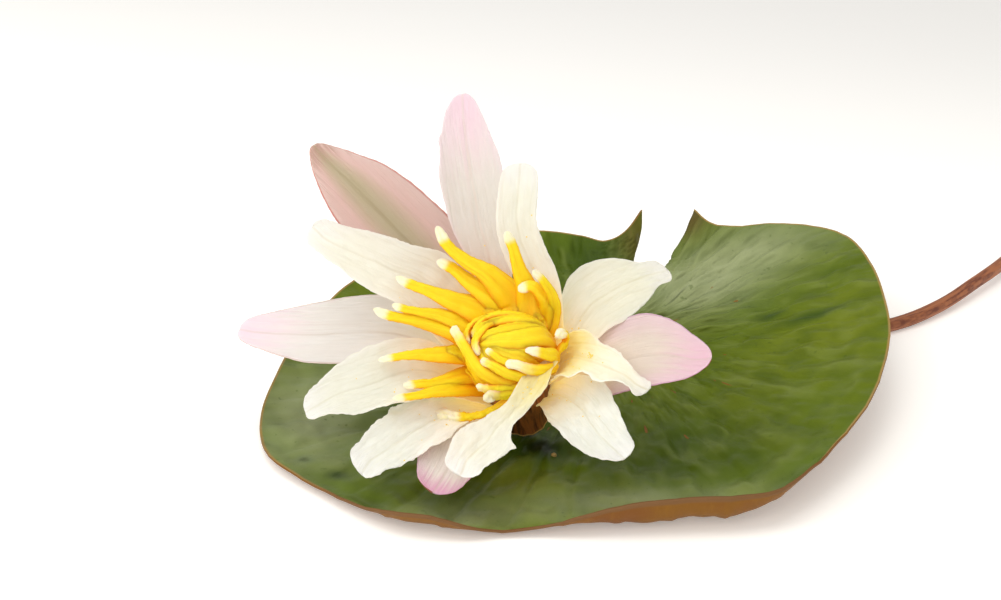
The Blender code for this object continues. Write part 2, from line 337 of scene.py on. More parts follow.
def run_nodes(name: str, mesh: Mesh, tree: NodeTree, settings: dict) -> Object:
    """Runs geometry nodes over a mesh and keeps the outcome as a plain mesh.

    Args:
        name: the finished piece's name.
        mesh: what the nodes start from.
        tree: the node group.
        settings: its inputs by name.

    Returns:
        The finished piece, with no modifier left on it.
    """
    holder = bpy.data.objects.new(f"{name}_paths", mesh)
    bpy.context.scene.collection.objects.link(holder)
    modifier = holder.modifiers.new("nodes", "NODES")
    modifier.node_group = tree
    for item in tree.interface.items_tree:
        if item.item_type == "SOCKET" and item.in_out == "INPUT" and item.name in settings:
            modifier[item.identifier] = settings[item.name]
    holder.update_tag()
    depsgraph = bpy.context.evaluated_depsgraph_get()
    evaluated = holder.evaluated_get(depsgraph)
    made = bpy.data.meshes.new_from_object(evaluated, preserve_all_data_layers=True, depsgraph=depsgraph)
    made.name = name
    bpy.data.objects.remove(holder)
    tidy_mesh(made)
    return new_piece(name, made)


def hand_over(piece: Object, slot: Slot, *nodes: str) -> None:
    """Makes a finished piece ride with the plant and stand for its CAD nodes.

    Args:
        piece: the finished piece.
        slot: the record's slot that its finish comes from; not used.
        nodes: the CAD nodes that it stands for; none for a piece that is only added.
    """
    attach(piece, "root")
    if nodes:
        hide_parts(*nodes)
    log.info("%s: %d faces, stands for %s", piece.name, len(piece.data.polygons), ", ".join(nodes) or "nothing")


# ---------------------------------------------------------------- petals and sepals


@dataclass(frozen=True)
class PetalTissue:
    """The finish of a petal or sepal: soft, waxy and slightly see-through, veined from foot to tip, with a faint
    painted glow that turns golden near the foot.

    The reaches are shares of the length from the foot and from the tip, and edge_width is a share
    of half the width.
    """

    name: str
    body: str
    shade: str
    foot: str
    tip: str
    edge: str
    vein: str
    foot_reach: float = 0.3
    tip_reach: float = 0.2
    edge_width: float = 0.15
    edge_strength: float = 0.4
    vein_strength: float = 0.25
    rim: str = "E9DFC6"
    rim_strength: float = 0.3
    midrib_strength: float = 0.7
    # The painted glow: faint all over, and golden near the foot.
    glow: str = "FFEFC6"
    glow_strength: float = 0.05
    foot_glow: str = "F2D27E"
    foot_glow_strength: float = 0.24

    def material(self) -> Material:
        """Builds the tissue's material on the petal's own place and span attributes.

        Returns:
            The material.
        """
        material, node, shader = new_material(self.name)
        place = node(SPLIT, {0: node(KEPT, out="Vector", attribute_name="place")}, ALL)
        span = node(KEPT, out="Vector", attribute_name="span")
        # Soft clouds a few millimetres across keep the tissue from looking cast.
        clouds = drawn_out(node, span, (0.16, 0.3, 1.0), 4.0)
        # Veins run from foot to tip, under a millimetre apart, so the noise is drawn out lengthwise.
        veins = drawn_out(node, span, (0.035, 1.3, 1.0), 3.0, 0.6)
        vein_line = node(RANGE, {0: veins, 1: 0.5, 2: 0.72}, **EASED)
        faint_vein = node(MATH, {0: vein_line, 1: self.vein_strength}, **TIMES)
        # The veins also fray the colours of the foot and the tip where they meet the body.
        frayed = node(MATH, {0: veins, 1: 0.22, 2: place[0]}, operation="MULTIPLY_ADD")
        at_foot = node(RANGE, {0: frayed, 1: 0.1, 2: 0.1 + self.foot_reach, 3: 1.0, 4: 0.0}, **EASED)
        at_tip = node(RANGE, {0: frayed, 1: 1.11 - self.tip_reach, 2: 1.11}, **EASED)
        beside = node(MATH, {0: place[1]}, operation="ABSOLUTE")
        at_edge = node(RANGE, {0: beside, 1: 1.0 - self.edge_width, 2: 1.0, 4: self.edge_strength}, **EASED)
        at_rim = node(RANGE, {0: beside, 1: 0.945, 2: 0.985, 4: self.rim_strength}, **EASED)
        # The midrib is a line a third of a millimetre wide that comes and goes.
        off_middle = node(MATH, {0: node(SPLIT, {0: span}, ALL)[1]}, operation="ABSOLUTE")
        middle = node(RANGE, {0: off_middle, 1: 0.08, 2: 0.42, 3: self.midrib_strength, 4: 0.0}, **EASED)
        at_midrib = node(MATH, {0: middle, 1: clouds}, **TIMES)
        colour = layered(
            node,
            self.body,
            (clouds, self.shade),
            (faint_vein, self.vein),
            (at_edge, self.edge),
            (at_tip, self.tip),
            (at_foot, self.foot),
            (at_midrib, self.vein),
            (at_rim, self.rim),
        )
        # Cells a fifth of a millimetre across break up the gloss under the veins' own relief.
        grain = node(NOISE, {"Vector": span, "Scale": 5.0, "Detail": 2.0})
        relief = node(MATH, {0: grain, 1: 0.18, 2: veins}, operation="MULTIPLY_ADD")
        # Painted glow in place of light coming through the thin tissue: faint all over, golden near the foot.
        through = node(RANGE, {0: place[0], 2: 0.55, 3: self.foot_glow_strength, 4: 0.0}, **EASED)
        light = layered(node, "000000", (self.glow_strength, self.glow), (through, self.foot_glow))
        feed(shader, {
            "Base Color": colour,
            "Normal": node(BUMP, {"Height": relief, "Strength": 0.7, "Distance": 0.0005}),
            "Roughness": node(RANGE, {0: clouds, 3: 0.5, 4: 0.66}),
            "IOR": 1.42,
            "Emission Color": light,
            "Emission Strength": 1.0,
            "Subsurface Weight": 0.7,
            "Subsurface Radius": (1.0, 0.94, 0.85),
            "Subsurface Scale": 0.0025,
        })
        return material


CREAM = PetalTissue(
    "petal_wax_cream", "EEEBD9", "E6E2CD", "F0D680", "EFEBE2", "F4F2E8", "D3CAB0", foot_reach=0.42,
)
# A lighter copy of the cream for the front petals: painted light that they catch.
CREAM_WHITE = PetalTissue(
    "petal_wax_cream_white", "FAF7E7", "F3EFDB", "EFDA90", "F4F0E9", "F9F7EE", "D9D0B6", foot_reach=0.5,
)
CREAM_GOLD_FOOT = PetalTissue(
    "petal_wax_cream_gold_foot", "ECE7D1", "E4DEC4", "EEC86E", "EDE7DC", "F3F0E3", "D3C8A6", foot_reach=0.42,
)
CREAM_DARK_FOOT = PetalTissue(
    "petal_wax_cream_dark_foot", "F9F9EC", "F2F0DF", "EEDE9C", "F5F1EB", "F9F8F0", "D8D0B4", foot_reach=0.16,
)
CREAM_YELLOW_FOOT = PetalTissue(
    "petal_wax_cream_yellow_foot", "F4F0DA", "ECE6C2", "E2C64C", "F2EDDF", "F7F4EA", "D8CA96", foot_reach=0.7,
    foot_glow_strength=0.05,
)
# The front petal's inside, darker and yellower than the cream white of its outside: partly the petal's yellow
# foot, partly painted shade on its claw.
CREAM_CLAW = PetalTissue(
    "petal_wax_cream_claw", "F2EFDD", "E8E3CB", "DCC874", "F2EFE6", "F8F5EA", "CFC5A0", foot_reach=0.72,
    foot_glow_strength=0.03,
)
BLUSH = PetalTissue(
    "petal_blush_pink", "D9D2CB", "D0C8C0", "E8CB96", "E6C0CF", "E2CFD0", "D2BFB6", tip_reach=0.4,
    edge_strength=0.6, rim="E0C0C6", glow="FFE2D0", foot_glow="E8A878",
)
SEPAL_LILAC = PetalTissue(
    "sepal_lilac_white", "E8E0DB", "E0D5CF", "EBD9AE", "EBC8D6", "EBD6DB", "C6B2A6", glow="FFE2D8",
    tip_reach=0.35, edge_strength=0.5, rim="B58A72", rim_strength=0.5,
)
SEPAL_ROSE = PetalTissue(
    "sepal_rose_tip", "EFDED7", "E6D4CD", "E0C99A", "D896B4", "E4B8C6", "BCA696", glow="FFE2D8",
    tip_reach=0.19, edge_width=0.6, edge_strength=0.7, rim="C4809E", rim_strength=0.75,
)
SEPAL_PINK = PetalTissue(
    "sepal_pale_pink", "DFCDC1", "D5C2B5", "E2CAA0", "DFAEC0", "E0B6C4", "C6B2A6", glow="FFE2D8",
    tip_reach=0.4, edge_width=0.7, edge_strength=0.8, rim="B0789A", rim_strength=0.8,
)
SEPAL_MAUVE = PetalTissue(
    "sepal_mauve_green", "A09676", "A89A84", "C0AC88", "A48278", "C9A4A0", "8C7F5E", glow="E4C8B4",
    foot_glow="D8B070", foot_glow_strength=0.12, tip_reach=0.12, edge_width=0.98, edge_strength=1.7,
    vein_strength=0.3, rim="A4504C", rim_strength=1.0,
)
SEPAL_BACK = PetalTissue(
    "sepal_outside_bronze_green", "7C7A45", "6A5A38", "9C9A62", "8A4B3C", "7A3E33", "54502C", glow="50401C",
    foot_glow="605020", foot_glow_strength=0.1, tip_reach=0.35, edge_width=0.3, edge_strength=0.8,
    vein_strength=0.6, rim="7A3E33",
)


@dataclass(frozen=True)
class Blade:
    """A petal or sepal, with the same measures as its solid and the finer form that its surface shows.

    azimuth is where it stands round the axis, 0 at the right and 90 at the back. lean is its angle
    from the axis, turn how far it heads sideways of its azimuth and twist its turn about its own
    line, each at its foot and tip. cup is how far its edges turn up. All of these are degrees.
    outline is each side's half width as shares, evenly from foot to tip, clockwise side first.
    ruffle is how far its edges wave, with so many waves, crinkle how deep its small dents are,
    crease how deep its midrib lies and jagged how uneven its outline is. serrated is how far its
    edges' fine points stand out, and each of its teeth is a place along it, a side (-1 or 1), how
    far it stands out and half its breadth. The spacings, the midrib's width and the veins' height
    are millimetres. Its tip is rounded from rounded_from on, and no narrower than least_share.
    """

    name: str
    azimuth: float
    length: float
    width: float
    lean: tuple[float, float]
    outline: tuple[tuple[float, ...], tuple[float, ...]]
    seed: int
    turn: tuple[float, float] = (0.0, 0.0)
    twist: tuple[float, float] = (0.0, 0.0)
    cup: float = 28.0
    foot: tuple[float, float] = (7.9, 13.3)
    ruffle: float = 0.35
    waves: float = 4.0
    crinkle: float = 0.16
    crease: float = 0.18
    jagged: float = 0.012
    serrated: float = 0.1
    point_spacing: float = 0.8
    midrib_width: float = 0.7
    vein_spacing: float = 1.5
    vein_height: float = 0.022
    rounded_from: float = 0.88
    least_share: float = 0.03
    teeth: tuple[tuple[float, int, float, float], ...] = ()
    inside: PetalTissue = CREAM
    outside: PetalTissue = CREAM
    slot: Slot = Slot.PETAL

    def half_width(self, s: float, side: int) -> float:
        """Half its width on a side at s, which runs from 0 at its foot to 1 at its rounded tip."""
        rounding = max(1 - max((s - self.rounded_from) / 0.12, 0.0) ** 2.6, 0.0) ** 0.4
        return self.width / 2 * max(along(self.outline[side > 0], s) * rounding, self.least_share)

    def edge_points(self, s: float, side: int) -> float:
        """How far the fine points and the teeth of an edge stand out at s, in millimetres."""
        fine = ripple(s * self.length / self.point_spacing, side * 5, self.seed + 7)
        return self.serrated * smoothstep((s - 0.25) / 0.3) * fine + sum(
            height * math.exp(-(((s - at) * self.length / breadth) ** 2))
            for at, which, height, breadth in self.teeth
            if which == side
        )

    def relief(self, s: float, v: float, beside: float, off_middle: float) -> float:
        """How far its surface rises out of its plain cupped form, in millimetres.

        Args:
            s: the place along it, from 0 at its foot to 1 at its tip.
            v: the place across it, from -1 to 1.
            beside: millimetres from its line.
            off_middle: millimetres from its width's middle.

        Returns:
            The rise of its waves, dents, midrib and veins.
        """
        side, length, seed = 1 if v > 0 else -1, s * self.length, self.seed
        # Even waves along the free edges, with uneven ones on top.
        free = smoothstep((s - 0.1) / 0.35)
        waves = math.sin(math.pi * self.waves * (s + 0.08 * side) + seed * 1.7 * side)
        rise = self.ruffle * free * abs(v) ** 2.2 * waves
        rise += self.ruffle * 0.6 * free * abs(v) ** 3 * ripple(length / 3.0, side * 3, seed + 0.5)
        # Dents a few millimetres long all over, and shallower ones between them.
        rise += self.crinkle * (0.35 + 0.65 * free) * ripple(length / 3.4, beside / 1.9, seed)
        rise += self.crinkle * 0.4 * ripple(length / 1.5, beside / 0.9, seed + 3)
        # The midrib's groove, and low veins beside it.
        rise -= self.crease * math.exp(-((off_middle / self.midrib_width) ** 2)) * (1 - 0.6 * s)
        veins = math.sin(beside * math.pi * 2 / self.vein_spacing + 0.6 * ripple(length / 8, 0, seed))
        return rise + self.vein_height * veins * (1 - abs(v) ** 4)

    def midrib(self, places: list[float]) -> list[tuple[Vector, Vector, Vector]]:
        """Follows its middle line.

        Args:
            places: where along it, as shares of its length.

        Returns:
            For each place a point, the direction across and the one up.
        """
        azimuth = math.radians(self.azimuth)
        outwards = Vector((math.cos(azimuth), math.sin(azimuth), 0.0))
        sideways = Vector((-math.sin(azimuth), math.cos(azimuth), 0.0))
        upwards = Vector((0.0, 0.0, 1.0))
        point, line, before = outwards * self.foot[0] + upwards * self.foot[1], [], None
        for i, s in enumerate(places):
            lean, turn, twist = (
                math.radians(ends[0] + (ends[1] - ends[0]) * s) for ends in (self.lean, self.turn, self.twist)
            )
            out = outwards * math.cos(turn) + sideways * math.sin(turn)
            flat = sideways * math.cos(turn) - outwards * math.sin(turn)
            ahead = out * math.sin(lean) + upwards * math.cos(lean)
            across = flat * math.cos(twist) + ahead.cross(flat) * math.sin(twist)
            if before is None:
                point = point + ahead * self.length * s
            else:
                point = point + (ahead + before).normalized() * self.length * (s - places[i - 1])
            line.append((point, across, ahead.cross(across)))
            before = ahead
        return line


SEPALS = (
    Blade("sepal_back_left", 124, 61.7, 18.0, (60, 68), cup=26, foot=(7.3, 8.8), inside=SEPAL_MAUVE,
        outside=SEPAL_BACK, slot=Slot.SEPAL, seed=11, ruffle=0.15, crinkle=0.08, crease=0.3, jagged=0.006,
        outline=((0.45, 0.75, 1.0, 1.2, 1.27, 1.37, 1.3, 1.17, 0.95, 0.56, 0.25),
        (0.42, 0.5, 0.58, 0.66, 0.74, 0.8, 0.84, 0.83, 0.74, 0.54, 0.35))),
    Blade("sepal_left", 162, 53.0, 17.5, (56, 99), cup=22, foot=(7.6, 10.6), inside=SEPAL_LILAC,
        outside=SEPAL_BACK, slot=Slot.SEPAL, seed=12, ruffle=0.2, crinkle=0.12, crease=0.35, jagged=0.008,
        outline=((0.45, 0.8, 1.15, 1.4, 1.45, 1.32, 1.12, 0.87, 0.64, 0.44, 0.35),
        (0.4, 0.35, 0.32, 0.36, 0.48, 0.65, 0.8, 0.85, 0.76, 0.61, 0.45))),
    Blade("sepal_front", 240, 33, 16.0, (43, 77), foot=(6.9, 7.6), inside=SEPAL_ROSE,
        outside=SEPAL_BACK, slot=Slot.SEPAL, seed=13, crinkle=0.12,
        outline=((0.42, 0.52, 0.66, 0.8, 0.92, 0.99, 1.0, 0.97, 0.88, 0.7, 0.6),
        (0.16, 0.12, 0.1, 0.12, 0.18, 0.3, 0.48, 0.68, 0.76, 0.68, 0.6))),
    Blade("sepal_right", 344, 39, 16.0, (50, 74), cup=24, foot=(7.6, 9.6), inside=SEPAL_PINK,
        outside=SEPAL_BACK, slot=Slot.SEPAL, seed=14, ruffle=0.12, crinkle=0.08, crease=0.3, jagged=0.006,
        outline=((0.42, 0.55, 0.68, 0.78, 0.82, 0.82, 0.8, 0.76, 0.73, 0.64, 0.5),
        (0.45, 0.75, 1.05, 1.25, 1.4, 1.52, 1.5, 1.33, 1.05, 0.64, 0.4))),
)

PETALS = (
    Blade("petal_back", 94, 53.9, 14.6, (45, 60), turn=(3, -7), cup=26, inside=BLUSH, outside=BLUSH, seed=21,
        ruffle=0.25, crinkle=0.2, jagged=0.012,
        outline=((0.42, 0.44, 0.47, 0.57, 0.65, 0.75, 0.85, 0.87, 0.72, 0.52, 0.4),
        (0.42, 0.42, 0.44, 0.5, 0.64, 0.85, 0.95, 0.99, 0.84, 0.64, 0.45)), teeth=((0.835, 1, 0.5, 1.2),)),
    Blade("petal_back_left", 141, 46, 15.0, (44, 72), seed=22, ruffle=0.45, waves=5, crinkle=0.34,
        jagged=0.026, outline=((0.5, 0.8, 1.15, 1.45, 1.6, 1.54, 1.22, 1.0, 0.76, 0.5, 0.5),
        (0.45, 0.45, 0.42, 0.38, 0.38, 0.44, 0.56, 0.62, 0.7, 0.68, 0.6)), serrated=0.22),
    Blade("petal_left", 193, 39, 16.5, (39, 95), seed=23, ruffle=0.4, waves=6, crinkle=0.34, crease=0.35,
        jagged=0.035, serrated=0.28,
        outline=((0.5, 0.85, 1.15, 1.35, 1.41, 1.36, 1.21, 1.07, 0.87, 0.59, 0.5),
        (0.4, 0.4, 0.36, 0.34, 0.38, 0.51, 0.63, 0.64, 0.53, 0.4, 0.5))),
    Blade("petal_front_left", 219, 36, 15.5, (42, 90), foot=(7.8, 11.3), inside=CREAM_WHITE, seed=24,
        ruffle=0.35, waves=5, crinkle=0.42, crease=0.5, jagged=0.035, serrated=0.3,
        outline=((0.5, 0.68, 0.76, 0.86, 0.93, 1.04, 1.06, 0.95, 0.88, 0.78, 0.8),
        (0.35, 0.34, 0.34, 0.36, 0.46, 0.65, 0.71, 0.63, 0.57, 0.36, 0.5))),
    Blade("petal_front_right", 314, 31, 12.0, (47, 91), turn=(0, -22), cup=24, inside=CREAM_DARK_FOOT,
        seed=25, ruffle=0.3, crinkle=0.42, crease=0.45, jagged=0.022, serrated=0.14,
        outline=((0.3, 0.48, 0.7, 0.89, 1.05, 1.16, 1.22, 1.2, 1.04, 0.82, 0.7),
        (0.8, 1.1, 1.22, 1.27, 1.32, 1.2, 1.0, 0.84, 0.68, 0.56, 0.6))),
    Blade("petal_front", 325.6, 32.4, 12.0, (76.2, 87.7), turn=(-92.2, -92.2), cup=24, foot=(9.4, 24.9),
        inside=CREAM_CLAW, outside=CREAM_WHITE, seed=26, ruffle=0.45, crinkle=0.42, crease=0.3, jagged=0.05,
        serrated=0.25, teeth=((0.685, 1, 0.9, 0.55),),
        outline=((0.5, 0.45, 0.42, 0.34, 0.28, 0.43, 0.6, 0.87, 0.96, 0.83, 0.85),
        (0.2, 0.42, 0.58, 0.55, 0.52, 0.56, 0.66, 0.98, 0.8, 0.6, 0.85))),
    Blade("petal_right", 354, 28.5, 9.0, (25, 105), turn=(-22, -42), cup=34, foot=(8.8, 15.5),
        inside=CREAM_YELLOW_FOOT, seed=27, ruffle=0.45, waves=7, crinkle=0.4, jagged=0.09, serrated=0.3,
        outline=((0.6, 0.9, 1.1, 1.2, 1.2, 1.06, 1.06, 1.01, 0.72, 0.64, 0.7),
        (1.5, 1.75, 1.71, 1.58, 1.31, 0.98, 0.8, 0.64, 0.42, 0.25, 0.4))),
    Blade("petal_back_right", 24, 32.6, 15.6, (42, 95), cup=16, foot=(7.8, 11.3), inside=CREAM_GOLD_FOOT,
        seed=28, ruffle=0.35, crinkle=0.34, jagged=0.03,
        outline=((0.4, 0.38, 0.42, 0.52, 0.6, 0.64, 0.72, 0.67, 0.54, 0.37, 0.6),
        (0.45, 0.6, 0.75, 0.95, 1.26, 1.45, 1.41, 1.25, 0.91, 0.54, 0.5))),
    Blade("petal_upright", 40, 38.2, 11.0, (42, 58), turn=(59, 39), cup=14, foot=(9.4, 15.2), seed=29,
        ruffle=0.3, crinkle=0.24, outline=((0.68, 0.81, 0.95, 1.02, 0.98, 0.81, 0.63, 0.52, 0.59, 0.65, 0.7),
        (0.35, 0.37, 0.39, 0.48, 0.61, 0.83, 1.0, 1.02, 0.93, 0.81, 0.8))),
)


@dataclass
class FlowerFrame:
    """Where the flower stands: the middle of its cut, and its lean in degrees."""

    foot: tuple[float, float, float] = (-10.7, -22.1, 3.7)
    lean_forward: float = 28.0
    lean_left: float = 10.0

    def matrix(self) -> np.ndarray:
        """The 4 by 4 placing of the flower's frame, in millimetres."""
        turn = Euler((math.radians(self.lean_forward), math.radians(-self.lean_left), 0.0)).to_matrix().to_4x4()
        return np.array(Matrix.Translation(self.foot) @ turn)

    def place(self, points: np.ndarray) -> np.ndarray:
        """Moves points of the flower's frame, or of any shape ending in 3, to where they stand."""
        matrix = self.matrix()
        return points @ matrix[:3, :3].T + matrix[:3, 3]


@dataclass
class Perianth:
    """The four sepals and nine petals, each its own piece.

    Rows run from foot to tip, closer together towards the tip by crowding, and sink is how much of
    its length each blade starts inside the base. tops keeps every blade's upper face, where it stands.
    """

    frame: FlowerFrame
    rows: int = 104
    columns: int = 56
    crowding: float = 1.35
    thickness: float = 0.55
    edge_round: float = 0.3
    sink: float = 0.06
    tops: dict[str, np.ndarray] = field(default_factory=dict)

    def surface(self, blade: Blade) -> tuple[np.ndarray, np.ndarray, np.ndarray, np.ndarray]:
        """Lays out a blade's middle surface.

        Args:
            blade: the petal or sepal.

        Returns:
            Its points, its thickness, and its place and span vectors, each over rows and columns.
        """
        steps = [row / self.rows for row in range(self.rows + 1)]
        places = [(1 + self.sink) * (1 - (1 - step) ** self.crowding) - self.sink for step in steps]
        cup = math.radians(blade.cup)
        points = np.zeros((self.rows + 1, self.columns + 1, 3))
        thick = np.zeros(points.shape[:2])
        place, span = np.zeros_like(points), np.zeros_like(points)
        for i, (s, (point, across, up)) in enumerate(zip(places, blade.midrib(places))):
            middle = (blade.half_width(s, 1) - blade.half_width(s, -1)) / 2
            reach = (blade.half_width(s, 1) + blade.half_width(s, -1)) / 2
            for j in range(self.columns + 1):
                v = math.sin(math.pi / 2 * (2 * j / self.columns - 1))
                side = 1 if v > 0 else -1
                uneven = blade.jagged * ripple(s * 14, side, blade.seed) * (0.4 + 1.6 * s)
                half = blade.half_width(s, side) * (1 + uneven) + blade.edge_points(s, side) * abs(v) ** 6
                beside, angle = half * v, cup * v
                outward = up * math.cos(angle) - across * math.sin(angle)
                cupped = (across * math.sin(angle) + up * (1 - math.cos(angle))) * half / cup
                points[i, j] = point + cupped + outward * blade.relief(s, v, beside, beside - middle)
                to_tip, to_foot = (1 - s) * blade.length * 1.2, (s + self.sink) * blade.length + 0.01
                inset = min((1 - abs(v)) * half, to_tip, to_foot)
                full = self.thickness * (1 - 0.35 * abs(v) ** 3 - 0.2 * s)
                thick[i, j] = full * round_off(inset / self.edge_round)
                place[i, j] = (s, max(-1.0, min(1.0, (beside - middle) / reach)), 0.0)
                span[i, j] = (s * blade.length, beside - middle, blade.seed * 5.7)
        return points, thick, place, span

    def spot(self, name: str, s: float, v: float) -> np.ndarray:
        """A point of a finished blade's upper face, s along it and v across it from -1 to 1."""
        top = self.tops[name]
        row = int((1 - (1 - s) ** (1 / self.crowding)) * self.rows)
        return top[min(row, self.rows - 3), int((math.asin(v) / math.pi + 0.5) * self.columns)]

    def build(self) -> None:
        """Makes every petal and sepal, and dresses its inside and its outside."""
        tissues: dict[str, Material] = {}
        for blade in SEPALS + PETALS:
            points, thick, place, span = self.surface(blade)
            normals = grid_normals(points)
            lift = normals * (thick / 2)[..., None]
            upper, lower = self.frame.place(points - lift), self.frame.place(points + lift)
            if normals[self.rows // 2, self.columns // 2] @ np.array(blade.midrib([0.0, 0.5])[1][2]) > 0:
                upper, lower = lower, upper
            for tissue in (blade.inside, blade.outside):
                if tissue.name not in tissues:
                    tissues[tissue.name] = tissue.material()
            mesh = closed_sheet(f"{blade.name}_petal", upper, lower, {"place": place, "span": span})
            dress = (tissues[side.name] for side in (blade.inside, blade.outside))
            hand_over(new_piece(f"{blade.name}_tissue", mesh, *dress), blade.slot, blade.name)
            self.tops[blade.name] = upper


# ---------------------------------------------------------------- the stamens


@dataclass(frozen=True)
class Anther:
    """The finish of a stamen: a yellow band with fine lines along it, its foot orange and partly painted shade,
    its flanks orange painted shade, a faint orange painted glow, and a pale tip.
    """

    name: str = "stamen_pollen_yellow"
    body: str = "F2CE0E"
    light: str = "F5E022"
    foot: str = "F2B600"
    line: str = "EDB004"
    painted_crevice_shade: str = "E99600"
    tip: str = "FBF1CE"
    through: str = "F08A00"

    def material(self) -> Material:
        """Builds the stamens' material on what each point keeps from its path and outline.

        Returns:
            The material.
        """
        material, node, shader = new_material(self.name)
        place, span = (
            node(SPLIT, {0: node(KEPT, out="Vector", attribute_name=title)}, ALL) for title in ("place", "span")
        )
        across, crown = (node(KEPT, out="Fac", attribute_name=title) for title in ("across", "crown"))
        there = node("ShaderNodeTexCoord", out="Object")
        # Pollen lies in clots a third of a millimetre across.
        clots = node(NOISE, {"Vector": there, "Scale": 2600.0, "Detail": 3.0, "Roughness": 0.65})
        streaks = node(NOISE, {"Vector": there, "Scale": 420.0, "Detail": 3.0})
        # Fine lines along the band, about half a millimetre apart.
        crossways, lengthways = (
            node(MATH, {0: measure, 1: scale}, **TIMES) for measure, scale in ((across, 3.2), (span[0], 0.07))
        )
        run = node("ShaderNodeCombineXYZ", {0: crossways, 1: lengthways, 2: span[2]})
        lines = node(NOISE, {"Vector": run, "Scale": 1.0, "Detail": 2.0, "Roughness": 0.6})
        in_line = node(RANGE, {0: lines, 1: 0.54, 2: 0.72, 4: 0.6}, **EASED)
        # Orange at the foot: partly the stamens' own colour, partly painted shade where they crowd into the
        # flower.
        at_foot = node(RANGE, {0: place[0], 1: 0.04, 2: 0.5, 3: 0.95, 4: 0.0}, **EASED)
        frayed = node(MATH, {0: streaks, 1: 0.5, 2: place[1]}, operation="MULTIPLY_ADD")
        at_tip = node(RANGE, {0: frayed, 1: 0.3, 2: 1.25}, **EASED)
        # Painted shade: the flanks and the underside, where bands meet, turn orange.
        flank = node(RANGE, {0: crown, 1: 0.72, 2: 0.0, 4: 0.95}, **EASED)
        colour = layered(
            node,
            self.body,
            (streaks, self.light),
            (in_line, self.line),
            (at_foot, self.foot),
            (flank, self.painted_crevice_shade),
            (at_tip, self.tip),
        )
        relief = node(MATH, {0: lines, 1: 0.8, 2: clots}, operation="MULTIPLY_ADD")
        feed(shader, {
            "Base Color": colour,
            "Normal": node(BUMP, {"Height": relief, "Strength": 0.45, "Distance": 0.0002}),
            "Roughness": node(RANGE, {0: clots, 3: 0.48, 4: 0.7}),
            "Specular IOR Level": 0.3,
            "Subsurface Weight": 0.6,
            "Subsurface Radius": (1.0, 0.95, 0.25),
            "Subsurface Scale": 0.0014,
            # A faint orange painted glow, off at the tips, keeps the shaded hollows orange.
            "Emission Color": layered(node, self.through, (at_tip, "000000")),
            "Emission Strength": 0.045,
        })
        return material


class Lie(Enum):
    """Whether a stamen stands free of the dome or lies on it, which settles where its upper face looks."""

    FREE = "free"
    ON_DOME = "on the dome"


@dataclass(frozen=True)
class Stamen:
    """A stamen: its route from foot to tip and the form of its band.

    Each corner of the route is a direction from the dome's middle, as azimuth and height in degrees,
    and how many dome radii out it lies. width is the band's at its middle, and fan, tip_share and
    thick are shares of it: its width at the foot and before the tip, and its thickness. pale is how
    many millimetres of the tip are pale, soft over how many the yellow fades, pointed how long the
    tip's rounding is in widths, crust how lumpy its pollen is and warm how orange it is.
    """

    route: tuple[tuple[float, float, float], ...]
    width: float
    pale: float = -2.0
    soft: float = 1.2
    fan: float = 1.0
    tip_share: float = 0.7
    thick: float = 0.34
    pointed: float = 0.9
    crust: float = 0.25
    warm: float = 0.0


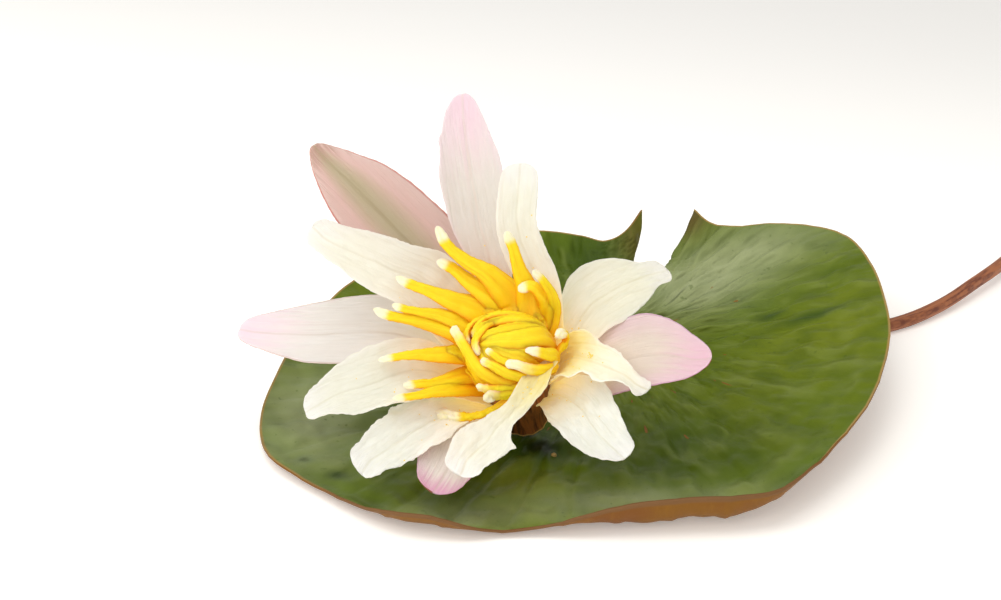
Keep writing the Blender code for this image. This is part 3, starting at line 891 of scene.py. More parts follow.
FREE_STAMENS = (
    Stamen(((84, -40, 0.95), (82, -8, 1.0), (83, 0, 1.2), (85, 7, 1.5), (97, 23, 2.07), (107, 28, 2.61),
        (112, 29, 3.19), (112, 30, 3.72)), 3.4, 3.4, fan=2.5, pointed=1.4),
    Stamen(((94, -40, 0.95), (92, -12, 1.0), (92, -4, 1.17), (95, 3, 1.4), (101, 14, 1.68), (111, 22, 2.21),
        (115, 24, 2.61), (119, 24, 2.97)), 3.7, 2.3, fan=2.5),
    Stamen(((112, -40, 0.95), (110, -8, 1.0), (111, 3, 1.2), (115, 11, 1.45), (128, 22, 1.96),
        (134, 25, 2.48), (137, 25, 2.90), (138, 25, 3.27)), 3.5, 2.6, fan=2.5, pointed=1.3),
    Stamen(((140, -40, 0.95), (139, -8, 1.0), (140, 2, 1.18), (142, 9, 1.41), (149, 18, 1.85),
        (154, 22, 2.35), (157, 23, 2.85), (156, 23, 3.27)), 3.3, 3.0, fan=2.5, pointed=1.3),
    Stamen(((130, -40, 0.95), (128, -8, 1.0), (129, 2, 1.15), (132, 10, 1.35), (141, 20, 1.80),
        (148, 24, 2.29), (151, 25, 2.63), (152, 25, 2.95)), 2.8, 1.8, fan=2.5),
    Stamen(((164, -45, 1.20), (159, -21, 1.07), (167, 1, 1.31), (174, 12, 1.79), (178, 17, 2.46),
        (180, 16, 2.90)), 3.2, 2.8, fan=1.8, tip_share=0.6, pointed=1.6),
    Stamen(((-177, -45, 1.19), (172, -45, 1.04), (-172, -16, 1.26), (-164, 1, 1.72), (-164, 9, 2.12),
        (-164, 12, 2.47)), 3.3, 2.0, fan=1.7),
    Stamen(((-160, -45, 1.19), (-156, -13, 1.36), (-155, 5, 1.84), (-154, 13, 2.45), (-155, 16, 2.91)), 2.8,
        2.3, fan=1.7, pointed=1.3),
    Stamen(((68, -40, 0.95), (66, -8, 1.0), (67, 2, 1.2), (70, 11, 1.49), (73, 24, 1.82), (77, 33, 2.22),
        (80, 40, 2.75), (83, 43, 3.17)), 3.1, 2.3, fan=2.2),
    Stamen(((40, -46, 1.0), (42, -14, 1.22), (45, 4, 1.46), (50, 20, 1.68), (57, 34, 1.97), (65, 40, 2.18)),
        2.7, 2.2, fan=1.0),
    Stamen(((54, -44, 1.0), (51, -20, 1.16), (52, -3, 1.34), (55, 15, 1.52), (63, 27, 1.72), (69, 29, 1.74),
        (76, 30, 1.60)), 3.9, 1.7, fan=0.95, tip_share=0.7, thick=0.55, pointed=0.6),
    Stamen(((60, -42, 0.95), (56, -12, 1.05), (57, 2, 1.12), (60, 8, 1.2)), 6.0, fan=1.0, tip_share=0.6,
        thick=0.2, warm=0.5),
    Stamen(((76, -42, 0.95), (74, -10, 1.02), (75, 3, 1.15), (77, 9, 1.28)), 6.0, fan=1.0, tip_share=0.6,
        thick=0.2, warm=0.5),
    Stamen(((160, -42, 0.95), (160, -12, 1.0), (163, 2, 1.2), (166, 8, 1.45)), 6.0, fan=1.0, tip_share=0.5,
        thick=0.2, warm=0.3),
    Stamen(((-174, -42, 0.95), (-175, -26, 1.0), (-175, -17, 1.04), (-174, -12, 1.08)), 6.0, fan=1.0,
        tip_share=0.5, thick=0.2, warm=0.3),
    Stamen(((-98, -20, 1.05), (-117, -27, 1.34), (-128, -23, 1.62), (-137, -18, 1.84), (-145, -14, 1.98),
        (-150, -11, 2.14)), 1.6, 5.2, soft=1.2, tip_share=1.9, thick=0.7, pointed=0.8, crust=1.3, warm=-0.6),
)

DOME_STAMENS = (
    Stamen(((62, -12, 0.88), (74, 10, 0.98), (100, 21, 1.10), (130, 20, 1.15), (156, 24, 1.06)), 3.4, 0.2,
        soft=2.5, crust=0.5, thick=0.5),
    Stamen(((45, -8, 0.88), (58, 22, 0.95), (88, 35, 1.04), (120, 34, 1.12), (150, 33, 1.08)), 3.2, 0.2,
        soft=2.5, crust=0.6, thick=0.52),
    Stamen(((34, -8, 0.88), (42, 30, 0.93), (76, 52, 0.97), (128, 50, 1.04), (158, 40, 1.07)), 3.6, 0.2,
        soft=2.5, crust=0.5, thick=0.5),
    Stamen(((27, -10, 0.88), (31, 34, 0.91), (52, 68, 0.93), (142, 68, 0.96), (166, 45, 1.04)), 3.5, 0.2,
        soft=2.5, crust=0.4, thick=0.46),
    Stamen(((12, -10, 0.88), (6, 40, 0.93), (-24, 76, 0.94), (-170, 74, 0.92), (172, 44, 0.95)), 4.9, 0.2,
        soft=2.5, crust=0.3, thick=0.46),
    Stamen(((-16, -10, 0.86), (-32, 44, 0.9), (-68, 70, 0.9), (-138, 71, 0.89), (-180, 56, 0.9)), 3.4,
        crust=0.1, thick=0.42, warm=0.35),
    Stamen(((-44, -10, 0.86), (-60, 46, 0.9), (-94, 62, 0.9), (-143, 65, 0.89), (-178, 54, 0.9)), 3.4,
        crust=0.1, thick=0.42, warm=0.3),
    Stamen(((-66, -12, 0.86), (-86, 38, 0.9), (-120, 50, 0.9), (-152, 54, 0.9), (-178, 48, 0.9)), 3.4,
        crust=0.1, thick=0.44, warm=0.2),
    Stamen(((-94, -14, 0.88), (-110, 20, 0.92), (-136, 37, 0.92), (-165, 44, 0.93), (172, 42, 0.95)), 3.6,
        0.2, soft=2.5, crust=0.3, thick=0.46),
    Stamen(((-128, -16, 0.88), (-144, 8, 0.9), (-168, 26, 0.9), (176, 36, 0.91)), 3.8, thick=0.44, warm=0.2),
    Stamen(((-160, -16, 0.88), (-174, 6, 0.9), (174, 22, 0.9), (164, 32, 0.91)), 3.8, thick=0.44, warm=0.2),
    Stamen(((168, -16, 0.94), (160, 3, 1.0), (156, 16, 1.04), (154, 26, 1.04)), 3.8, crust=1.0, thick=0.5),
    Stamen(((138, -16, 0.96), (138, 0, 1.04), (141, 12, 1.08), (148, 22, 1.06)), 3.8, crust=1.0, thick=0.5),
    Stamen(((108, -16, 0.96), (112, 0, 1.04), (122, 9, 1.08), (140, 15, 1.06)), 3.8, crust=0.6, thick=0.46),
    Stamen(((84, -16, 0.94), (90, 0, 1.0), (106, 8, 1.06), (130, 10, 1.06)), 3.8, crust=0.4, thick=0.46),
    Stamen(((104, 36, 1.02), (118, 31, 1.15), (133, 27, 1.19), (146, 25, 1.15), (160, 30, 1.1),
        (168, 36, 1.05)), 2.3, 0.9, soft=3.6, tip_share=0.8, crust=0.8, thick=0.5, pointed=0.6),
    Stamen(((96, 50, 0.99), (128, 54, 1.05), (150, 54, 1.08), (174, 50, 1.1), (-166, 48, 1.08),
        (-156, 47, 1.04)), 2.4, 1.2, soft=3.6, tip_share=0.75, crust=0.5, thick=0.5, pointed=0.6),
    Stamen(((-20, -8, 0.96), (-20, 13, 1.0), (-34, 36, 1.09), (-43, 49, 1.13), (-53, 59, 1.10)), 2.9, 2.6,
        soft=1.6, tip_share=0.66, thick=0.42, pointed=1.3),
    Stamen(((-30, -12, 0.96), (-33, 2, 1.02), (-48, 19, 1.08), (-65, 35, 1.13), (-79, 46, 1.13),
        (-98, 52, 1.10)), 2.5, 4.0, soft=5.0, tip_share=0.78, thick=0.55, pointed=0.6),
    Stamen(((-58, -4, 0.94), (-68, 14, 0.97), (-82, 28, 1.03), (-99, 38, 1.07), (-121, 46, 1.08),
        (-146, 46, 1.07)), 2.3, 1.5, soft=3.0, tip_share=0.76, thick=0.55, pointed=0.6),
    Stamen(((-62, 20, 0.93), (-70, 33, 0.96), (-86, 46, 0.99), (-104, 54, 1.03), (-126, 60, 1.05),
        (-154, 60, 1.04)), 1.8, 1.3, soft=1.6, tip_share=0.8, thick=0.55, pointed=0.6),
    Stamen(((-84, -4, 0.93), (-99, 14, 0.96), (-118, 24, 1.0), (-141, 34, 1.07), (-167, 40, 1.15),
        (170, 39, 1.30), (147, 22, 1.50)), 2.9, 4.4, soft=4.5, tip_share=0.74, thick=0.7, pointed=0.55),
    Stamen(((-80, -8, 0.9), (-88, 3, 0.96), (-99, 8, 1.03), (-112, 11, 1.10), (-124, 14, 1.20),
        (-131, 18, 1.28)), 3.0, 1.6, soft=3.0, tip_share=0.7, thick=0.55, crust=0.8, pointed=0.8, warm=-0.1),
    Stamen(((-80, -16, 0.9), (-88, -5, 0.98), (-100, 2, 1.08), (-108, 5, 1.17), (-115, 9, 1.26),
        (-120, 0, 1.34)), 3.0, 2.6, soft=2.5, tip_share=0.85, thick=0.6, crust=0.6, pointed=0.55, warm=-0.1),
    Stamen(((-10, -6, 0.92), (-2, 2, 1.02), (6, 0, 1.14), (11, 6, 1.22), (11, 16, 1.22), (7, 22, 1.17),
        (2, 22, 1.09)), 2.1, 2.6, soft=1.4, tip_share=1.1, thick=0.65, pointed=0.6, warm=-0.8),
)


@dataclass(frozen=True)
class PathPoint:
    """A point of a stamen's path: its spot, where its upper face looks, its form, and what its finish reads."""

    spot: Vector
    up: Vector
    half_width: float
    thick: float
    place: Vector
    span: Vector


@dataclass
class Stamens:
    """All stamens: bands swept along their paths over a soft heart.

    Steps are closer together towards the tip by crowding. least_thickness and ridge_height are
    shares of a band's half width. Its pollen is uneven by up to unevenness millimetres, in lumps of
    which lump_scale go to a metre. The heart is cut off heart_drop millimetres below its middle.
    """

    frame: FlowerFrame
    dome_centre: tuple[float, float, float] = (0.6, -0.2, 22.9)
    dome_radii: tuple[float, float, float] = (9.5, 8.5, 7.2)
    heart_share: float = 0.86
    heart_drop: float = 4.6
    heart_sides: int = 60
    heart_rows: int = 40
    fine_steps: int = 240
    steps: int = 64
    crowding: float = 1.2
    sides: int = 30
    least_thickness: float = 0.15
    ridge_height: float = 0.07
    unevenness: float = 1.1
    lump_scale: float = 900.0

    def spot(self, corner: tuple[float, float, float]) -> Vector:
        """Turns a corner of a route into a point of the flower's frame."""
        azimuth, height = math.radians(corner[0]), math.radians(corner[1])
        ahead = (math.cos(azimuth) * math.cos(height), math.sin(azimuth) * math.cos(height), math.sin(height))
        return Vector([ahead[k] * self.dome_radii[k] * corner[2] + self.dome_centre[k] for k in range(3)])

    def half_width(self, stamen: Stamen, s: float, total: float, seed: int) -> float:
        """Half a stamen's width at s along its path, which is total millimetres long."""
        half = stamen.width / 2 * (stamen.fan + (1 - stamen.fan) * smoothstep(s / 0.85))
        half *= 1 - (1 - stamen.tip_share) * smoothstep((s - 0.4) / 0.5)
        half *= 1 + 0.05 * ripple(s * total / 3.0, 2.0, seed)
        rounding = stamen.width * stamen.tip_share * stamen.pointed
        return half * math.sqrt(max(1 - (1 - min((1 - s) * total / rounding, 1.0)) ** 2, 0.004))

    def path(self, stamen: Stamen, lie: Lie, seed: int) -> list[PathPoint]:
        """Follows a stamen's route in even steps.

        Args:
            stamen: the stamen.
            lie: whether it stands free or lies on the dome.
            seed: what sets its small swings apart from the others'.

        Returns:
            Its path from foot to tip.
        """
        columns = list(zip(*(self.spot(corner) for corner in stamen.route)))
        places = [i / self.fine_steps for i in range(self.fine_steps + 1)]
        fine = np.array([[along(column, place) for column in columns] for place in places])
        travelled = np.concatenate([[0.0], np.cumsum(np.linalg.norm(np.diff(fine, axis=0), axis=1))])
        total = float(travelled[-1])
        shares = [1 - (1 - i / self.steps) ** self.crowding for i in range(self.steps + 1)]
        spots = [Vector([float(np.interp(s * total, travelled, fine[:, k])) for k in range(3)]) for s in shares]
        path = []
        for i, (s, spot) in enumerate(zip(shares, spots)):
            ahead = (spots[min(i + 1, self.steps)] - spots[max(i - 1, 0)]).normalized()
            up = Vector((0.0, 0.0, 1.0))
            if lie is Lie.ON_DOME:
                up = Vector([(spot[k] - self.dome_centre[k]) / self.dome_radii[k] ** 2 for k in range(3)])
            up = (up - ahead * up.dot(ahead)).normalized()
            sideways = ahead.cross(up) * 0.3 * ripple(s * total / 6, 1.0, seed)
            swing = sideways + up * 0.2 * ripple(s * total / 5, 5.0, seed)
            pale = smoothstep((stamen.pale - (1 - s) * total) / (1.8 * stamen.soft) + 0.5)
            path.append(
                PathPoint(
                    spot + swing * smoothstep(s * 3),
                    up,
                    self.half_width(stamen, s, total, seed) * MM,
                    stamen.thick - self.least_thickness,
                    Vector((s * (1 - stamen.warm), pale, 0.25 + stamen.crust * smoothstep(s * 1.6))),
                    Vector((s * total, 0.0, seed * 3.7)),
                )
            )
        return path

    def paths_mesh(self, name: str, paths: list[list[PathPoint]]) -> Mesh:
        """Turns paths into a mesh of edges that carries what the sweep needs.

        Args:
            name: the mesh's name.
            paths: the stamens' paths in the flower's frame.

        Returns:
            The mesh, in metres, with the paths' values as attributes on its points.
        """
        points = [point for path in paths for point in path]
        edges = [(i, i + 1) for i in range(len(points) - 1) if (i + 1) % (self.steps + 1)]
        mesh = bpy.data.meshes.new(name)
        mesh.from_pydata(self.frame.place(np.array([point.spot for point in points])) * MM, edges, [])
        fields = {
            title: np.array([getattr(point, title) for point in points])
            for title in ("up", "place", "span", "half_width", "thick")
        }
        keep(mesh, fields | {"up": fields["up"] @ self.frame.matrix()[:3, :3].T})
        return mesh

    def sweep_tree(self) -> NodeTree:
        """Builds the geometry nodes that sweep a stamen's outline along its path.

        Returns:
            The node group, with the inputs Sides, Least Thickness, Ridge Height, Unevenness, Lump
            Size and Material.
        """
        numbers = ("Least Thickness", "Ridge Height", "Unevenness", "Lump Size")
        tree, node, given = new_tree("stamen_sweep", {"Sides": "Int"} | dict.fromkeys(numbers, "Float"))
        half, crown, across, thick, up, place = (
            node(NAMED, {"Name": title}, data_type=kind)
            for title, kind in (
                ("half_width", "FLOAT"),
                ("crown", "FLOAT"),
                ("across", "FLOAT"),
                ("thick", "FLOAT"),
                ("up", "FLOAT_VECTOR"),
                ("place", "FLOAT_VECTOR"),
            )
        )
        path = node("GeometryNodeMeshToCurve", {0: given["Geometry"]})
        path = node("GeometryNodeSetCurveNormal", {"Curve": path, "Normal": up}, mode="FREE")
        # The outline is a ring pressed flat, whose points keep how far up and how far across they are.
        ring = node("GeometryNodeCurvePrimitiveCircle", {"Resolution": given["Sides"], "Radius": 1.0})
        spot = node(SPLIT, {0: node("GeometryNodeInputPosition")}, ALL)
        for title, value in (("crown", spot[0]), ("across", spot[1])):
            links = {"Geometry": ring, "Name": title, "Value": value}
            ring = node("GeometryNodeStoreNamedAttribute", links, data_type="FLOAT", domain="POINT")
        pressed = node(MATH, {0: spot[0], 1: given["Least Thickness"]}, **TIMES)
        flat = node("ShaderNodeCombineXYZ", {0: pressed, 1: spot[1], 2: 0.0})
        ring = node(MOVE, {"Geometry": ring, "Position": flat})
        band = node(SWEEP, {"Curve": path, "Profile Curve": ring, "Scale": half, "Fill Caps": True})
        # The band's own thickness, and two low ridges on its upper face.
        wave = node(MATH, {0: node(MATH, {0: across, 1: 6.9}, **TIMES)}, operation="COSINE")
        above = node(RANGE, {0: crown, 1: 0.05, 2: 0.45}, **EASED)
        lowered = node(MATH, {0: given["Ridge Height"], 1: -1.0}, **TIMES)
        ridge = node(MATH, {0: node(MATH, {0: wave, 1: above}, **TIMES), 1: lowered}, **TIMES)
        share = node(MATH, {0: crown, 1: thick, 2: ridge}, operation="MULTIPLY_ADD")
        rise = node(MATH, {0: share, 1: half}, **TIMES)
        band = node(MOVE, {"Geometry": band, "Offset": node(VECTOR, {0: up, "Scale": rise}, operation="SCALE")})
        # Pollen lumps, coarse and fine, where the band's crust is.
        crust = node(SPLIT, {0: place}, ALL)[2]
        coarse = node(NOISE, {"Scale": given["Lump Size"], "Detail": 3.0, "Roughness": 0.6})
        lumps = node(MATH, {0: coarse, 1: 0.5}, operation="SUBTRACT")
        for share in (given["Unevenness"], crust):
            lumps = node(MATH, {0: lumps, 1: share}, **TIMES)
        offset = node(VECTOR, {0: node("GeometryNodeInputNormal"), "Scale": lumps}, operation="SCALE")
        end_tree(node, given, node(MOVE, {"Geometry": band, "Offset": offset}))
        return tree

    def build(self) -> None:
        """Sweeps the free stamens and the ones on the dome, each group one piece, and makes the heart."""
        tree, material = self.sweep_tree(), Anther().material()
        settings = {
            "Sides": self.sides,
            "Least Thickness": self.least_thickness,
            "Ridge Height": self.ridge_height,
            "Unevenness": self.unevenness * MM,
            "Lump Size": self.lump_scale,
            "Material": material,
        }
        groups = (
            ("outer_stamens", FREE_STAMENS, Lie.FREE, [f"stamen_{i:02}" for i in range(1, 12)]),
            ("dome_stamens", DOME_STAMENS, Lie.ON_DOME, ["inner_stamens"]),
        )
        for name, stamens, lie, nodes in groups:
            paths = [self.path(stamen, lie, seed) for seed, stamen in enumerate(stamens, 1)]
            lines = self.paths_mesh(f"{name}_lines", paths)
            hand_over(run_nodes(name, lines, tree, settings), Slot.STAMEN, *nodes)
        self.build_heart(material)

    def build_heart(self, material: Material) -> None:
        """Makes the soft heart that the inner stamens lie on.

        Args:
            material: the stamens' own finish.
        """
        points = np.zeros((self.heart_sides, self.heart_rows, 3))
        place = np.zeros_like(points)
        # Low and with no crown, the heart takes the orange foot and the painted crevice shade all over.
        place[..., 0] = 0.1
        for i in range(self.heart_sides):
            round_it = 2 * math.pi * i / self.heart_sides
            for j in range(self.heart_rows):
                down = math.pi * j / (self.heart_rows - 1)
                grown = self.heart_share * (1 + 0.03 * ripple(round_it * 2, down * 4, 3) * math.sin(down))
                across = math.sin(down)
                ahead = (math.cos(down), across * math.cos(round_it), across * math.sin(round_it))
                points[i, j] = [ahead[k] * self.dome_radii[k] * grown + self.dome_centre[k] for k in range(3)]
        points[..., 2] = np.maximum(points[..., 2], self.dome_centre[2] - self.heart_drop)
        mesh = turned_mesh("stamen_heart", self.frame.place(points), place)
        hand_over(new_piece("stamen_heart", mesh, material), Slot.STAMEN)


# ---------------------------------------------------------------- the flower's base


@dataclass(frozen=True)
class CutStem:
    """The finish of stem flesh: red-brown skin with dark streaks along it, and a paler rim at the cut."""

    name: str
    skin: str
    dark: str
    pale: str
    streak_scale: tuple[float, float, float]

    def material(self) -> Material:
        """Builds the stem's material on its place attribute: round it, along it, and how near a cut.

        Returns:
            The material.
        """
        material, node, shader = new_material(self.name)
        place = node(KEPT, out="Vector", attribute_name="place")
        # Streaks a millimetre wide run along the skin, and stand out a little.
        streaks = drawn_out(node, place, self.streak_scale, 4.0, 0.7)
        dark = node(RANGE, {0: streaks, 1: 0.42, 2: 0.62}, **EASED)
        cut = node(RANGE, {0: node(SPLIT, {0: place}, ALL)[2], 1: 0.35, 2: 1.0}, **EASED)
        feed(shader, {
            "Base Color": layered(node, self.skin, (dark, self.dark), (cut, self.pale)),
            "Normal": node(BUMP, {"Height": streaks, "Strength": 0.7, "Distance": 0.0004}),
            "Roughness": node(RANGE, {0: streaks, 3: 0.38, 4: 0.62}),
            "IOR": 1.45,
        })
        return material


@dataclass
class FlowerBase:
    """The stub that carries the flower: turned about its axis, fluted, with air canals in its cut.

    Each point of the profile is a radius and a height, and each canal is how far out it lies, its
    azimuth in degrees and its radius.
    """

    frame: FlowerFrame
    profile: tuple[tuple[float, float], ...] = (
        (0.0, 17.4), (2.4, 17.6), (4.4, 18.8), (5.6, 18.4), (6.6, 16.4), (7.0, 13.6), (6.6, 10.8), (5.7, 7.4),
        (5.0, 3.6), (4.9, 0.5),
    )
    cut_radius: float = 4.6
    sides: int = 96
    rows: int = 60
    cut_rows: int = 14
    flutes: int = 13
    flute_depth: float = 0.16
    canals: tuple[tuple[float, float, float], ...] = (
        (2.3, 0, 0.75),
        (2.4, 88, 0.8),
        (2.2, 176, 0.7),
        (2.5, 268, 0.78),
        (0.5, 40, 0.4),
    )

    def flank(self, i: int, t: float) -> tuple[float, float, float]:
        """Its radius, its height and how near the cut it is at a place of its side, on its ith line."""
        radius, height = (along([corner[k] for corner in self.profile], t) for k in (0, 1))
        round_it, radius = 2 * math.pi * i / self.sides, max(radius, 0.0)
        flute = math.sin(round_it * self.flutes + ripple(height / 5, i / 30, 4)) * 0.5
        flute += ripple(math.cos(round_it) * 3, math.sin(round_it) * 3, height / 20)
        near_cut = smoothstep((1.5 - height) / 0.8)
        return radius + self.flute_depth * flute * smoothstep(radius / 3), height, near_cut

    def cut(self, i: int, t: float) -> tuple[float, float, float]:
        """The same three at a place of its cut, where the canals sink in."""
        round_it, radius = 2 * math.pi * i / self.sides, self.cut_radius * (1 - t)
        spot, height, near_cut = Vector((radius * math.cos(round_it), radius * math.sin(round_it))), 0.0, 1.0
        for out, azimuth, size in self.canals:
            angle = math.radians(azimuth)
            away = (spot - Vector((out * math.cos(angle), out * math.sin(angle)))).length
            height += 0.9 * (1 - smoothstep((away - size * 0.6) / (size * 0.5)))
            near_cut -= 0.95 * (1 - smoothstep((away - size * 0.7) / (size * 0.4)))
        return radius, height + 0.12 * ripple(spot.x / 0.8, spot.y / 0.8, 9), near_cut

    def build(self) -> None:
        """Turns the base, presses its flutes and canals in, and dresses it."""
        points = np.zeros((self.sides, self.rows + self.cut_rows + 1, 3))
        place = np.zeros_like(points)
        for i in range(self.sides):
            round_it = 2 * math.pi * i / self.sides
            for j in range(points.shape[1]):
                if j <= self.rows:
                    radius, height, near_cut = self.flank(i, j / self.rows)
                else:
                    radius, height, near_cut = self.cut(i, (j - self.rows) / self.cut_rows)
                points[i, j] = (radius * math.cos(round_it), radius * math.sin(round_it), max(height, 0.0))
                place[i, j] = (math.cos(round_it) * 7 + 2.0 * math.sin(round_it * 2), height, max(near_cut, 0.0))
        mesh = turned_mesh("flower_stub", self.frame.place(points), place)
        finish = CutStem("stub_orange_brown", "A9642F", "5E2E14", "E0B068", (1.1, 0.06, 0.0))
        hand_over(new_piece("flower_stub", mesh, finish.material()), Slot.BASE, "flower_base")


# ---------------------------------------------------------------- the leaf


@dataclass(frozen=True)
class RimPoint:
    """A point of the leaf's rim: its place, its height, the power of the curve that reaches it, and its lip."""

    x: float
    y: float
    height: float
    power: float
    lip: float = 0.0


RIM = tuple(
    RimPoint(*measures)
    for measures in (
        (28.6, 58.0, 14.5, 1.7, 3.0), (32.2, 53.6, 13.0, 1.6, 1.0), (37.5, 50.6, 13.5, 1.5),
        (46.0, 48.8, 15.0, 1.3), (56.0, 44.8, 16.0, 1.2), (62.4, 37.0, 16.5, 1.2), (65.6, 23.3, 16.5, 1.2),
        (66.6, 9.3, 16.0, 1.3), (66.4, -4.1, 15.0, 1.4), (64.0, -16.9, 13.5, 1.6), (59.6, -30.5, 12.0, 1.9),
        (53.5, -42.0, 10.5, 2.3, 0.5), (45.7, -53.6, 9.0, 3.0, 2.0), (38.0, -61.0, 8.0, 4.0, 4.5),
        (30.5, -63.2, 8.0, 5.0, 6.5), (21.5, -64.0, 8.0, 6.0, 7.5), (9.5, -64.8, 7.0, 6.0, 6.6),
        (-0.5, -65.0, 4.2, 6.0, 4.0), (-9.0, -65.0, 1.8, 6.0, 1.2), (-16.5, -65.4, 1.2, 6.0, 0.6),
        (-22.5, -66.4, 3.0, 6.0, 2.6), (-29.7, -65.6, 4.8, 6.0, 4.4), (-36.5, -63.6, 4.6, 6.0, 4.0),
        (-43.5, -58.4, 2.8, 6.0, 2.0), (-52.0, -49.6, 1.8, 5.0, 0.8), (-61.2, -39.4, 1.8, 5.0, 0.8),
        (-65.2, -30.0, 1.8, 5.0, 0.8), (-66.0, -16.5, 2.0, 5.0, 0.8), (-64.2, -2.0, 2.2, 5.0, 0.8),
        (-61.6, 12.0, 2.4, 5.0, 0.8), (-57.2, 26.5, 2.6, 5.0, 0.8), (-49.8, 42.0, 3.6, 4.0, 0.8),
        (-37.0, 54.5, 5.0, 3.4, 0.8), (-21.0, 61.0, 6.4, 3.0, 1.0), (-7.0, 61.4, 7.4, 2.6, 1.0),
        (2.0, 57.4, 8.2, 2.4, 1.0), (8.0, 52.6, 9.0, 2.2, 1.5), (12.4, 52.4, 11.5, 2.2, 3.0),
        (16.4, 55.8, 15.5, 2.2, 5.0),
    )
)


@dataclass(frozen=True)
class LeafWax:
    """The finish of the pad's upper face: wet-looking waxy green, quilted, with painted sheen, painted
    highlights, shade and shadows, and an ochre to maroon rim.
    """

    name: str = "leaf_top_wax_green"
    green: str = "586B12"
    deep: str = "3C5010"
    fresh: str = "717A18"
    painted_sheen: str = "A6AD84"
    painted_crest_light: str = "87934C"
    rim: str = "A0844A"
    maroon: str = "7E4A30"
    # The darkest green, also used for the painted shadow under the stub.
    wet: str = "1C260A"
    vein: str = "727F2C"

    def material(self) -> Material:
        """Builds the material on the leaf's place (round, out, depth of maroon), span (polar mm) and tone
        (painted sheen, freshness that below nought is partly painted shade, and red).

        Returns:
            The material.
        """
        material, node, shader = new_material(self.name)
        place, tone = (
            node(SPLIT, {0: node(KEPT, out="Vector", attribute_name=title)}, ALL) for title in ("place", "tone")
        )
        span = node(KEPT, out="Vector", attribute_name="span")
        there = node("ShaderNodeTexCoord", out="Object")
        # Broad drifts of fresher and deeper green, a few centimetres across.
        drift = node(NOISE, {"Vector": there, "Scale": 38.0, "Detail": 3.0})
        fresh = node(RANGE, {0: drift, 1: 0.35, 2: 0.75, 4: 0.45}, **EASED)
        # The quilting between veins: blisters drawn out along the veins.
        quilt = drawn_out(node, span, (0.22, 0.13, 1.0), 2.0, 0.45)
        deep = node(RANGE, {0: quilt, 1: 0.62, 2: 0.32, 4: 0.3}, **EASED)
        # Fine paler lines, along the veins too.
        fine = drawn_out(node, span, (1.1, 0.3, 1.0), 4.0, 0.65)
        lines = node(RANGE, {0: fine, 1: 0.58, 2: 0.8, 4: 0.14}, **EASED)
        # Ripples three to eight millimetres long, which also raise the bump: painted highlights on their crests
        # and painted shade in their troughs.
        ripples = drawn_out(node, span, (0.27, 0.12, 1.0), 1.0, 0.4)
        painted_crest_light = node(RANGE, {0: ripples, 1: 0.5, 2: 0.72, 4: 0.26}, **EASED)
        painted_trough_shade = node(RANGE, {0: ripples, 1: 0.48, 2: 0.28, 4: 0.3}, **EASED)
        # Painted sheen: grey reflections laid on the wax in soft drifts along the veins.
        streak = node(RANGE, {0: quilt, 1: 0.3, 2: 0.7, 3: 0.72, 4: 1.0})
        painted_sheen = node(MATH, {0: streak, 1: tone[0]}, **TIMES)
        # Patches of young and of old leaf, with painted shade and painted shadow among the darker ones. The
        # darkest are dark and wet-looking; under the flower's stub that is a painted shadow.
        young = node(MATH, {0: tone[1], 1: 0.0}, operation="MAXIMUM")
        aged_and_shaded = node(MATH, {0: node(MATH, {0: tone[1], 1: -1.0}, **TIMES), 1: 0.0}, operation="MAXIMUM")
        wet = node(MATH, {0: aged_and_shaded, 1: 1.0}, operation="SUBTRACT", use_clamp=True)
        flush = node(MATH, {0: node(MATH, {0: lines, 1: 0.12}), 1: tone[2]}, **TIMES)
        speck = node(NOISE, {"Vector": there, "Scale": 700.0, "Detail": 2.0})
        specks = node(RANGE, {0: speck, 1: 0.66, 2: 0.74, 4: 0.4})
        # The rim is a thin line, ochre at the back and maroon at the front.
        rim_line = node(RANGE, {0: place[1], 1: 0.99, 2: 0.996}, **EASED)
        colour = layered(
            node,
            self.green,
            (fresh, self.fresh),
            (young, self.fresh),
            (aged_and_shaded, self.deep),
            (deep, self.deep),
            (painted_trough_shade, self.deep),
            (painted_crest_light, self.painted_crest_light),
            (lines, self.vein),
            (painted_sheen, self.painted_sheen),
            (flush, self.maroon),
            (specks, self.deep),
            (wet, self.wet),
            (rim_line, layered(node, self.rim, (place[2], self.maroon))),
        )
        relief = node(MATH, {0: fine, 1: 0.05, 2: ripples}, operation="MULTIPLY_ADD")
        feed(shader, {
            "Base Color": colour,
            "Normal": node(BUMP, {"Height": relief, "Strength": 0.9, "Distance": 0.003}),
            "Roughness": node(RANGE, {0: fine, 3: 0.3, 4: 0.48}),
            "IOR": 1.42,
            "Specular IOR Level": 0.12,
        })
        return material


